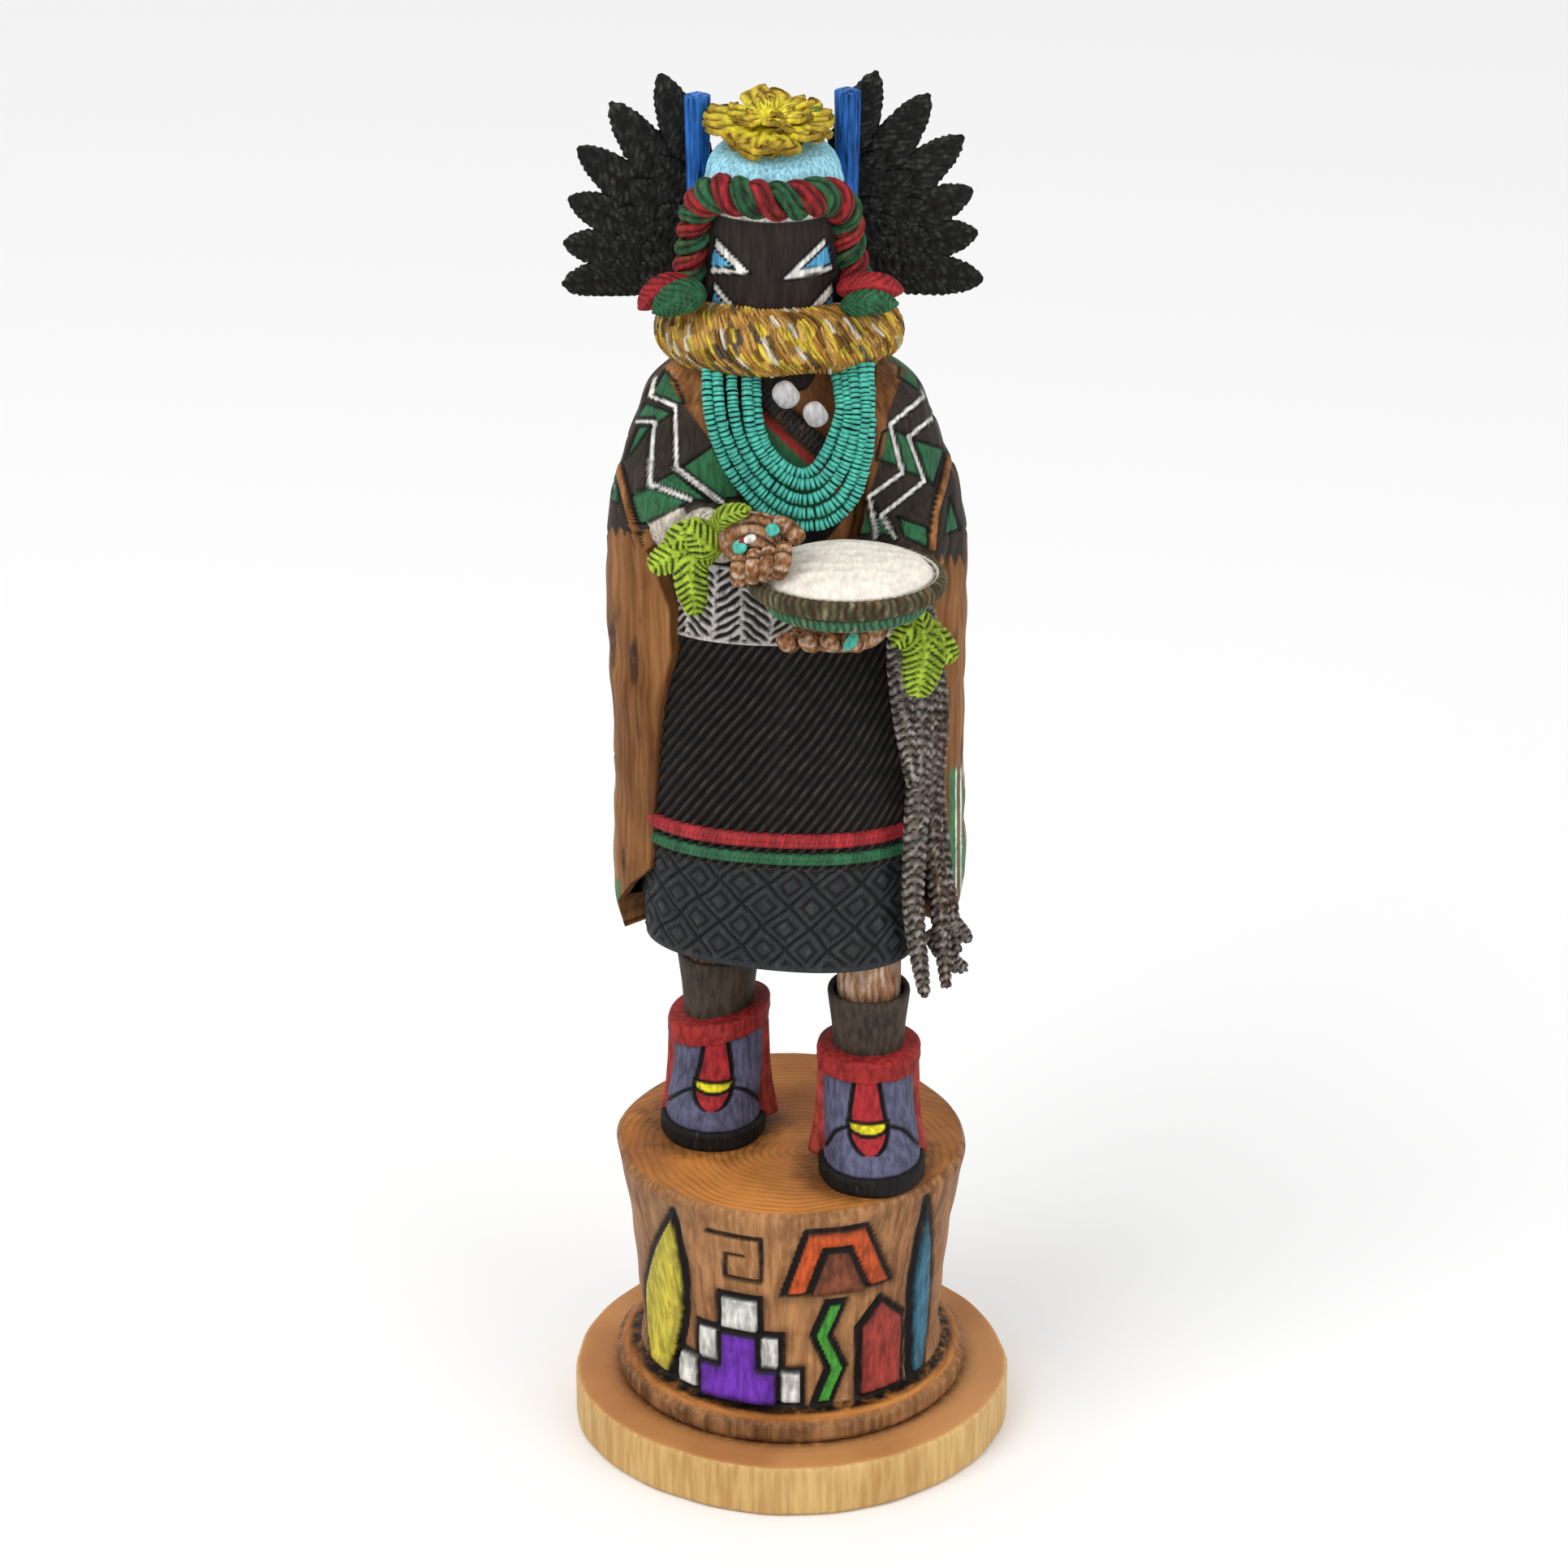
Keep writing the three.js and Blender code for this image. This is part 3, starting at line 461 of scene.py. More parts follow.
@dataclass
class Skin:
    """One closed surface: rows of rings, with the paint and the groove value at each point, which darkens
    cuts and lays painted shade, painted shadows and dark stain.
    """

    points: np.ndarray
    paint: np.ndarray = None
    groove: np.ndarray = None
    lay: np.ndarray = None

    def __post_init__(self) -> None:
        """Starts with bare wood, no grooves and a layout in millimetres along and round the rings."""
        rows, columns = self.points.shape[:2]
        if self.paint is None:
            self.paint = np.zeros((rows, columns, 4))
        if self.groove is None:
            self.groove = np.zeros((rows, columns))
        if self.lay is None:
            ring = np.linalg.norm(np.roll(self.points, -1, axis=1) - self.points, axis=2)
            round_it = np.concatenate([np.zeros((rows, 1)), np.cumsum(ring, axis=1)], axis=1)
            round_it *= (round_it[:, -1].max() / np.maximum(round_it[:, -1:], 1e-6))
            step = np.linalg.norm(np.diff(self.points, axis=0), axis=2).mean(axis=1)
            along = running(step)
            self.lay = np.stack([round_it, np.repeat(along[:, None], columns + 1, axis=1)], axis=2)

    def normals(self) -> np.ndarray:
        """Outward directions, found from the neighbours."""
        round_it = np.roll(self.points, -1, axis=1) - np.roll(self.points, 1, axis=1)
        along = np.gradient(self.points, axis=0)
        made = unit(np.cross(round_it, along))
        middle = self.points.mean(axis=1, keepdims=True)
        outward = np.sum(made * (self.points - middle)) >= 0.0
        return made if outward else -made

    def push(self, amount: np.ndarray) -> "Skin":
        """Moves the surface out by an amount in millimetres."""
        self.points = self.points + self.normals() * amount[..., None]
        return self

    def cover(self, colour: Union[Paint, RGB], where: np.ndarray = 1.0, alpha: float = 1.0) -> "Skin":
        """Lays a colour over the paint.

        Args:
            colour: The colour.
            where: How much of it, from 0 to 1.
            alpha: 0 takes the paint off down to the wood.

        Returns:
            This skin.
        """
        value = np.asarray(colour.value if isinstance(colour, Paint) else colour, dtype=float)
        where = np.broadcast_to(where, self.groove.shape)[..., None]
        self.paint[..., :3] += (value - self.paint[..., :3]) * where
        self.paint[..., 3:] += (alpha - self.paint[..., 3:]) * where
        return self

    def add_shade_and_stain(self, where: np.ndarray) -> "Skin":
        """Deepens the groove value, which lays the dark colour: painted shade in cuts, creases and shadows,
        and dark stain.
        """
        self.groove = np.maximum(self.groove, where)
        return self

    def line(self, where: np.ndarray, depth: float, colour: Paint = Paint.BLACK) -> "Skin":
        """Cuts a line, darkens it and paints it."""
        return self.push(-depth * where).add_shade_and_stain(where).cover(colour, where)


class Carving:
    """Several skins that make one piece."""

    def __init__(self, name: str) -> None:
        """Starts an empty piece.

        Args:
            name: The piece's name.
        """
        self.name = name
        self.skins: list[Skin] = []

    def add(self, *skins: Skin) -> "Carving":
        """Adds closed surfaces."""
        self.skins.extend(skins)
        return self

    def make(self, material: bpy.types.Material) -> bpy.types.Object:
        """Makes the Blender object, with each skin closed by a point at both ends.

        Args:
            material: Its finish.

        Returns:
            The object, in metres, at the origin.
        """
        verts, paints, grooves, faces, lays, count = [], [], [], [], [], 0
        for skin in self.skins:
            rows, columns = skin.points.shape[:2]
            index = np.arange(rows * columns).reshape(rows, columns) + count
            ends = (count + rows * columns, count + rows * columns + 1)
            after = np.roll(index, -1, axis=1)
            quads = np.stack([index[:-1], after[:-1], after[1:], index[1:]], axis=-1).reshape(-1, 4)
            lay_quads = np.stack([skin.lay[:-1, :-1], skin.lay[:-1, 1:], skin.lay[1:, 1:], skin.lay[1:, :-1]],
                                 axis=2)
            first = np.stack([after[0], index[0], np.full(columns, ends[0])], axis=-1)
            last = np.stack([index[-1], after[-1], np.full(columns, ends[1])], axis=-1)
            lay_first = np.stack([skin.lay[0, 1:], skin.lay[0, :-1], skin.lay[0, :-1]], axis=1)
            lay_last = np.stack([skin.lay[-1, :-1], skin.lay[-1, 1:], skin.lay[-1, 1:]], axis=1)
            poles = np.stack([skin.points[0].mean(axis=0), skin.points[-1].mean(axis=0)])
            points = np.concatenate([skin.points.reshape(-1, 3), poles])
            if self._volume(points, quads - count, first - count, last - count) < 0.0:
                quads, first, last = quads[:, ::-1], first[:, ::-1], last[:, ::-1]
                lay_quads, lay_first, lay_last = lay_quads[:, :, ::-1], lay_first[:, ::-1], lay_last[:, ::-1]
            verts.append(points)
            ends_paint = np.stack([skin.paint[0].mean(axis=0), skin.paint[-1].mean(axis=0)])
            paints.append(np.concatenate([skin.paint.reshape(-1, 4), ends_paint]))
            grooves.append(np.concatenate([skin.groove.reshape(-1),
                                           [skin.groove[0].mean(), skin.groove[-1].mean()]]))
            faces.append((quads, np.concatenate([first, last])))
            lays.append((lay_quads.reshape(-1, 2), np.concatenate([lay_first, lay_last]).reshape(-1, 2)))
            count += len(points)
        return self._object(np.concatenate(verts), np.concatenate(paints), np.concatenate(grooves), faces,
                            lays, material)

    @staticmethod
    def _volume(points: np.ndarray, quads: np.ndarray, first: np.ndarray, last: np.ndarray) -> float:
        """Signed volume, which is negative where the faces point in."""
        tris = np.concatenate([quads[:, [0, 1, 2]], quads[:, [0, 2, 3]], first, last])
        a, b, c = (points[tris[:, n]] for n in range(3))
        return float(np.sum(a * np.cross(b, c)))

    def _object(self, verts: np.ndarray, paint: np.ndarray, groove: np.ndarray, faces: list, lays: list,
                material: bpy.types.Material) -> bpy.types.Object:
        """Fills a mesh from arrays."""
        quads = np.concatenate([pair[0] for pair in faces])
        tris = np.concatenate([pair[1] for pair in faces])
        loops = np.concatenate([quads.reshape(-1), tris.reshape(-1)]).astype(np.int32)
        starts = np.concatenate([np.arange(len(quads)) * 4, len(quads) * 4 + np.arange(len(tris)) * 3])
        mesh = bpy.data.meshes.new(self.name)
        mesh.vertices.add(len(verts))
        mesh.vertices.foreach_set("co", (verts * MM).astype(np.float32).reshape(-1))
        mesh.loops.add(len(loops))
        mesh.loops.foreach_set("vertex_index", loops)
        mesh.polygons.add(len(starts))
        mesh.polygons.foreach_set("loop_start", starts.astype(np.int32))
        mesh.update(calc_edges=True)
        colour = mesh.attributes.new("paint", "FLOAT_COLOR", "POINT")
        colour.data.foreach_set("color", paint.astype(np.float32).reshape(-1))
        depth = mesh.attributes.new("groove", "FLOAT", "POINT")
        depth.data.foreach_set("value", groove.astype(np.float32))
        layer = mesh.uv_layers.new(name="lay")
        lay = np.concatenate([np.concatenate([pair[0] for pair in lays]),
                              np.concatenate([pair[1] for pair in lays])])
        layer.data.foreach_set("uv", (lay * MM).astype(np.float32).reshape(-1))
        mesh.polygons.foreach_set("use_smooth", np.ones(len(starts), dtype=bool))
        mesh.materials.append(material)
        mesh.validate()
        made = bpy.data.objects.new(self.name, mesh)
        bpy.context.scene.collection.objects.link(made)
        return made


def front_turns(count: int, bias: float = 0.5) -> np.ndarray:
    """Turns round a ring from the back, closer together in front."""
    even = np.linspace(-1.0, 1.0, count, endpoint=False)
    return math.pi * even - bias * np.sin(math.pi * even) + 1.5 * math.pi


def tube(path: np.ndarray, radius: Union[float, np.ndarray], sides: int, flat: float = 1.0,
         close: float = 0.0) -> Skin:
    """A tube along a path.

    Args:
        path: The path's points.
        radius: Its radius, or one at each point.
        sides: Points round it. The first faces front.
        flat: Its depth as a share of its width.
        close: How much of a radius each end is rounded over.

    Returns:
        The surface.
    """
    along = unit(np.gradient(path, axis=0))
    face = np.broadcast_to((0.0, -1.0, 0.15), path.shape)
    out = unit(face - along * np.sum(face * along, axis=1, keepdims=True))
    side = np.cross(along, out)
    reach = np.broadcast_to(radius, len(path)).astype(float)
    if close > 0.0:
        share = travelled(path)
        from_end = np.minimum(share, share[-1] - share) / np.maximum(reach * close, 1e-6)
        reach = reach * np.sqrt(np.clip(1.0 - (1.0 - np.clip(from_end, 0.0, 1.0)) ** 2, 0.02, 1.0))
    turn = round_turns(sides)
    ring = np.cos(turn)[None, :, None] * out[:, None] * flat + np.sin(turn)[None, :, None] * side[:, None]
    return Skin(path[:, None] + ring * reach[:, None, None])


@dataclass(frozen=True)
class View:
    """The camera that the photograph was taken with, as it was fitted."""

    place: tuple[float, float, float] = (-1.538, -1047.288, 625.025)
    pitch: float = 24.37
    lens: float = 125.39
    sensor: float = 36.0
    frame: int = 1932

    def pixels(self, points: np.ndarray) -> tuple[np.ndarray, np.ndarray]:
        """Where points in millimetres fall in the photograph.

        Args:
            points: An array whose last axis is x, y, z.

        Returns:
            The pixel across and the pixel down.
        """
        tilt = math.radians(self.pitch)
        offset = points - np.asarray(self.place)
        depth = offset[..., 1] * math.cos(tilt) - offset[..., 2] * math.sin(tilt)
        height = offset[..., 1] * math.sin(tilt) + offset[..., 2] * math.cos(tilt)
        focal = self.lens / self.sensor * self.frame
        half = self.frame / 2
        return half + focal * offset[..., 0] / depth, half - focal * height / depth

    def at_depth(self, marks: Sequence[Sequence[float]]) -> np.ndarray:
        """Points in millimetres for marks given as pixel across, pixel down and depth along Y."""
        tilt = math.radians(self.pitch)
        across, down, depth = np.asarray(marks, dtype=float).T
        focal, half = self.lens / self.sensor * self.frame, self.frame / 2
        right, up = (across - half) / focal, (half - down) / focal
        way = np.stack([right, math.cos(tilt) + up * math.sin(tilt), up * math.cos(tilt) - math.sin(tilt)],
                       axis=1)
        reach = (depth - self.place[1]) / way[:, 1]
        return np.asarray(self.place) + way * reach[:, None]

    def make(self) -> None:
        """Makes the scene's camera."""
        data = bpy.data.cameras.new("photo_view")
        data.lens = self.lens
        data.sensor_width = self.sensor
        data.sensor_fit = "HORIZONTAL"
        data.clip_start, data.clip_end = 0.05, 20.0
        camera = bpy.data.objects.new("photo_view", data)
        camera.location = [value * MM for value in self.place]
        camera.rotation_euler = (math.radians(90.0 - self.pitch), 0.0, 0.0)
        bpy.context.scene.collection.objects.link(camera)
        bpy.context.scene.camera = camera


VIEW = View()


@dataclass(frozen=True)
class Studio:
    """A pale floor and soft light from above, the left and the front."""

    floor_half: float = 3.0
    floor_colour: RGB = (0.9, 0.9, 0.9)
    sky: float = 0.86
    key: float = 11.0
    fill: float = 5.0

    def lamp(self, name: str, place: tuple[float, float, float], size: float, power: float) -> None:
        """Adds a square soft light that looks at the doll."""
        data = bpy.data.lights.new(name, "AREA")
        data.energy = power
        data.size = size
        lamp = bpy.data.objects.new(name, data)
        lamp.location = place
        aim = np.array([0.0, 0.0, 0.16]) - np.asarray(place)
        flat = math.hypot(aim[0], aim[1])
        lamp.rotation_euler = (math.atan2(flat, -aim[2]), 0.0, math.atan2(aim[1], aim[0]) - math.pi / 2)
        bpy.context.scene.collection.objects.link(lamp)

    def make(self) -> None:
        """Builds the floor, the sky light and the lamps."""
        half = self.floor_half
        mesh = bpy.data.meshes.new("floor")
        corners = [(-half, -half, 0.0), (half, -half, 0.0), (half, half, 0.0), (-half, half, 0.0)]
        mesh.from_pydata(corners, [], [(0, 1, 2, 3)])
        floor = bpy.data.objects.new("floor", mesh)
        bpy.context.scene.collection.objects.link(floor)
        shader = Shader("pale floor")
        shader.surface.inputs["Base Color"].default_value = (*self.floor_colour, 1.0)
        shader.surface.inputs["Roughness"].default_value = 0.9
        shader.surface.inputs["Specular IOR Level"].default_value = 0.1
        mesh.materials.append(shader.material)
        world = bpy.data.worlds.new("studio")
        world.use_nodes = True
        world.node_tree.nodes["Background"].inputs[0].default_value = (1.0, 1.0, 1.0, 1.0)
        world.node_tree.nodes["Background"].inputs[1].default_value = self.sky
        bpy.context.scene.world = world
        self.lamp("key", (-0.75, -0.75, 1.35), 0.9, self.key)
        self.lamp("fill", (0.95, -0.9, 0.8), 1.0, self.fill)
        bpy.context.scene.view_settings.view_transform = "Standard"


@dataclass(frozen=True)
class BaseDisc:
    """The sawn slab of pale wood under the pedestal."""

    radius: float = 47.5
    thickness: float = 12.0
    edge: float = 1.4
    uneven: float = 0.35
    finish: Finish = Finish("pale slab", wood_light=srgb(213, 180, 118), wood_dark=srgb(172, 130, 76),
                            grain=(700.0, 700.0, 60.0), streak=(900.0, 900.0, 120.0), bump=0.1,
                            roughness=(0.42, 0.66), shade_and_stain_colour=srgb(60, 36, 20), specular=0.16,
                            top_tint=(0.87, 0.62, 0.57))

    def make(self) -> bpy.types.Object:
        """Builds the slab."""
        columns = 160
        turn = round_turns(columns)
        arc = np.linspace(0.0, math.pi / 2, 6)
        low = [(self.radius - self.edge + self.edge * math.sin(a),
                self.edge * (1 - math.cos(a))) for a in arc]
        high = [(r, self.thickness - z) for r, z in reversed(low)]
        profile = [(r, 0.0) for r in np.linspace(4.0, low[0][0], 6)][:-1] + low
        profile += [(self.radius, z) for z in np.linspace(self.edge, self.thickness - self.edge, 10)[1:-1]]
        profile += high + [(r, self.thickness) for r in np.linspace(low[0][0], 4.0, 20)][1:]
        radius, height = np.asarray(profile)[:, 0], np.asarray(profile)[:, 1]
        sawn = self.uneven * np.cos(5 * turn + 1.1) + 0.25 * wander(turn * 20, turn * 0, 9.0, 3)
        reach = radius[:, None] + sawn * np.clip(radius / self.radius, 0, 1)[:, None] ** 4
        points = np.stack([reach * np.cos(turn), reach * np.sin(turn),
                           np.broadcast_to(height[:, None], reach.shape)], axis=2)
        skin = Skin(points)
        # painted shadow: a dark ring on the slab's top where the pedestal's foot ring stands on it
        under = smooth(height, self.thickness - 0.2, self.thickness) * smooth(radius, 40.0, 38.2)
        skin.groove = np.broadcast_to(under[:, None] * 0.8, skin.groove.shape).copy()
        return Carving("base_slab").add(skin).make(self.finish.material())


def arch(middle: float, foot: float, top: float, half: float) -> list[tuple[float, float]]:
    """An arched panel's outline."""
    turns = np.linspace(math.pi, 0.0, 13)
    rise = [(middle + half * math.cos(a), foot + (top - foot) * (0.4 + 0.6 * math.sin(a))) for a in turns]
    return [(middle - half, foot), *rise, (middle + half, foot)]


def leaf_outline(foot: float, tip: tuple[float, float], left: float, right: float,
                 bow: float) -> list[tuple[float, float]]:
    """A pointed leaf's outline."""
    shares = np.linspace(0.0, 1.0, 8)[:-1]
    sides = []
    for edge, out in ((left, -1.0), (right, 1.0)):
        sides.append([(edge + (tip[0] - edge) * s + out * bow * math.sin(math.pi * s),
                       foot + (tip[1] - foot) * s)
                      for s in shares])
    return [*sides[0], tip, *reversed(sides[1])]


def hill(middle: float, foot: float, top: float, half: float, crown: float) -> list[tuple[float, float]]:
    """A sloped hill's outline, with a flat top."""
    return [(middle - half, foot), (middle - crown, top), (middle + crown, top), (middle + half, foot)]


def lightning(left: float, width: float, foot: float, top: float, sway: float,
              count: int) -> list[tuple[float, float]]:
    """A zigzag's outline."""
    side = [(left + (i % 2) * sway, foot + (top - foot) * i / count) for i in range(count + 1)]
    return [*side, *[(across + width, height) for across, height in reversed(side)]]


def steps(middle: float, foot: float, half: float, rise: float, count: int) -> list[tuple[float, float]]:
    """A stepped cloud's outline, narrowing upwards."""
    left, right = [], []
    for level in range(count):
        reach = half * (1.0 - level / count)
        left += [(middle - reach, foot + level * rise), (middle - reach, foot + (level + 1) * rise)]
        right += [(middle + reach, foot + level * rise), (middle + reach, foot + (level + 1) * rise)]
    return [*left, *reversed(right)]


@dataclass(frozen=True)
class Pedestal:
    """The hollow-sided root with its foot ring and raised, painted panels of steps, arches and leaves."""

    height: float = 56.0
    top: float = 37.9
    waist: float = 32.2
    ring: float = 38.2
    ring_height: float = 5.6
    rise: float = 0.9
    finish: Finish = Finish("root wood", wood_light=srgb(190, 138, 90), wood_dark=srgb(104, 62, 32),
                            grain=(760.0, 760.0, 40.0), rings=(2.0, -9.0), streak=(900.0, 900.0, 190.0),
                            fleck=0.5, fleck_colour=srgb(120, 84, 56), streak_strength=0.4, specular=0.16,
                            roughness=(0.42, 0.7), top_tint=(1.36, 1.1, 0.6))

    def profile(self) -> list[tuple[float, float]]:
        """Height and radius of the turned side."""
        return [(0.0, self.ring - 1.0), (1.4, self.ring), (self.ring_height - 1.2, self.ring),
                (self.ring_height, self.ring - 1.6), (self.ring_height + 1.2, self.waist + 0.7),
                (self.height * 0.2, self.waist), (self.height * 0.42, self.waist + 0.9),
                (self.height * 0.66, self.waist + 2.4), (self.height * 0.84, (self.waist + self.top * 3) / 4),
                (self.height - 1.6, self.top), (self.height, self.top - 1.0)]

    def panels(self, front: bool) -> list[tuple[list, Paint]]:
        """Outlines as shares of the waist radius and the height, with their colours."""
        if not front:
            return [(steps(0.0, 0.12, 0.34, 0.14, 3), Paint.BRICK), (arch(-0.6, 0.12, 0.5, 0.16), Paint.CORN),
                    (arch(0.6, 0.12, 0.5, 0.16), Paint.STEEL),
                    (leaf_outline(0.6, (0.0, 0.92), -0.12, 0.12, 0.06), Paint.LEAF_GREEN)]
        point = [(0.44, 0.12), (0.44, 0.44), (0.59, 0.56), (0.74, 0.44), (0.74, 0.12)]
        return [(steps(-0.34, 0.12, 0.42, 0.16, 3), Paint.WHITE),
                (steps(-0.34, 0.12, 0.26, 0.16, 2), Paint.PURPLE),
                (hill(0.3, 0.62, 0.92, 0.36, 0.2), Paint.ORANGE),
                (hill(0.3, 0.62, 0.84, 0.2, 0.08), Paint.RUST),
                (lightning(0.14, 0.12, 0.12, 0.58, 0.1, 3), Paint.LEAF_GREEN), (point, Paint.BRICK),
                (leaf_outline(0.12, (-0.78, 0.93), -0.95, -0.8, 0.1), Paint.CORN),
                (leaf_outline(0.12, (0.9, 0.95), 0.79, 0.89, 0.05), Paint.STEEL)]

    def turned(self) -> tuple[Skin, np.ndarray, np.ndarray]:
        """The root's plain form, with each ring's radius and each point's turn."""
        floor, across_top = 12.0, 13
        rows = np.asarray(self.profile())
        length = running(np.hypot(*np.diff(rows, axis=0).T))
        share = np.linspace(0.0, length[-1], 100)
        height, radius = np.interp(share, length, rows[:, 0]), np.interp(share, length, rows[:, 1])
        inner = np.linspace(self.top - 1.0, 1.0, across_top + 1)[1:]
        height = np.concatenate([np.zeros(3), height, np.full(across_top, self.height)])
        radius = np.concatenate([[8.0, 22.0, 34.0], radius, inner])
        turn = front_turns(288, 0.35)
        x, y = radius[:, None] * np.cos(turn), radius[:, None] * np.sin(turn)
        return Skin(np.stack([x, y, np.broadcast_to(height[:, None] + floor, x.shape)], axis=2)), radius, turn

    def carve(self, skin: Skin, x: np.ndarray, y: np.ndarray, z: np.ndarray, side: np.ndarray) -> None:
        """Raises and paints the panels in front and behind, and cuts their outlines."""
        for front in (True, False):
            facing = (y < 0.0) if front else (y > 0.0)
            for outline, colour in self.panels(front):
                reach = inside([(u * self.waist, v * self.height) for u, v in outline], x, z)
                raised = reach * facing - 9.0 * ~facing
                skin.cover(colour, smooth(raised, 0.0, 0.5) * side)
                skin.push(self.rise * smooth(raised, -0.1, 0.9) * side)
                skin.line(near(reach, 0.4, 0.85) * side * facing, 0.5)
                burnt = 1.0 - smooth(np.abs(reach) + 0.5 * wander(x, z, 5.0, 14), 0.9, 3.2)
                skin.add_shade_and_stain(burnt * side * facing * 0.35)

    def paint_shade_and_stains(self, skin: Skin, radius: np.ndarray, turn: np.ndarray, x: np.ndarray, y: np.ndarray,
                z: np.ndarray) -> None:
        """Paints shadow on the top round the feet and shade where the root sits on the slab, and darkens the
        upper side, the foot ring and the seams.
        """
        # painted shadow of the feet on the pedestal's top
        stand = np.minimum(np.hypot(x - 17.0, (y + 15.0) * 0.85), np.hypot(x + 17.0, (y - 5.0) * 0.85))
        shadow = (1.0 - smooth(stand + 1.5 * wander(x, y, 9.0, 12), 13.0, 18.0)) * (z > self.height - 0.5)
        stain = smooth(z, self.height * 0.72, self.height - 2.0) * smooth(radius, 34.0, 36.0)[:, None]
        stain = stain * 0.4 * (0.6 + 0.4 * wander(turn * 34, z, 14.0, 8))
        foot_ring = smooth(z, self.ring_height,
                           self.ring_height - 0.6) * (0.42 + 0.16 * wander(turn * 36, z, 11.0, 13))
        seam = near(z - self.ring_height - 0.9, 0.25, 0.8) * (radius > 30)[:, None]
        # painted shade along the bottom, where the root sits on the slab
        low = 1.0 - smooth(z, 0.0, 0.8)
        skin.groove = np.clip(np.maximum.reduce([skin.groove, shadow * 0.55, stain, foot_ring, seam, low]), 0,
                              1)

    def make(self) -> bpy.types.Object:
        """Builds the root."""
        skin, radius, turn = self.turned()
        x, y, z = skin.points[..., 0], skin.points[..., 1], skin.points[..., 2] - 12.0
        side = smooth(z, self.ring_height + 0.3, self.ring_height + 1.5) * smooth(z, self.height - 0.5,
                                                                                  self.height - 3.0)
        skin.push(0.3 * wander(turn * 34.0, z, 22.0, 5) * smooth(z, 8.0, 20.0) * (radius > 30.0)[:, None])
        self.carve(skin, x, y, z, side)
        pale = smooth(wander(turn * 34.0, z, 26.0, 9), -0.5, 0.9) * smooth(x, -10.0, -28.0) * smooth(z, 18.0,
                                                                                                     30.0)
        skin.cover(srgb(214, 184, 150), pale * side * 0.5 * (skin.paint[..., 3] < 0.1), 0.55)
        whirl = [(-0.56, 0.88), (-0.2, 0.88), (-0.2, 0.68), (-0.44, 0.68), (-0.44, 0.79), (-0.32, 0.79)]
        mark = from_line([(u * self.waist, v * self.height) for u, v in whirl], x, z)
        skin.line((1.0 - smooth(mark, 0.25, 0.7)) * side * (y < 0.0), 0.5, Paint.CREST_BROWN)
        self.paint_shade_and_stains(skin, radius, turn, x, y, z)
        return Carving("root_pedestal").add(skin).make(self.finish.material())


DRESS_ROWS = [(51, -2, -6, 29, 18.6, -14), (63, -2, -4.8, 29.4, 19, -11), (79, -2, -2.8, 30, 19.6, -7),
              (100, -1.6, -1, 29.6, 19.8, -3), (122, -1.2, 0, 27.4, 19.4, 0), (140, -1, 1, 26.6, 19.6, 0),
              (160, -2, 1, 25, 18.6, 0), (182, -3, 0, 15, 13, 0)]


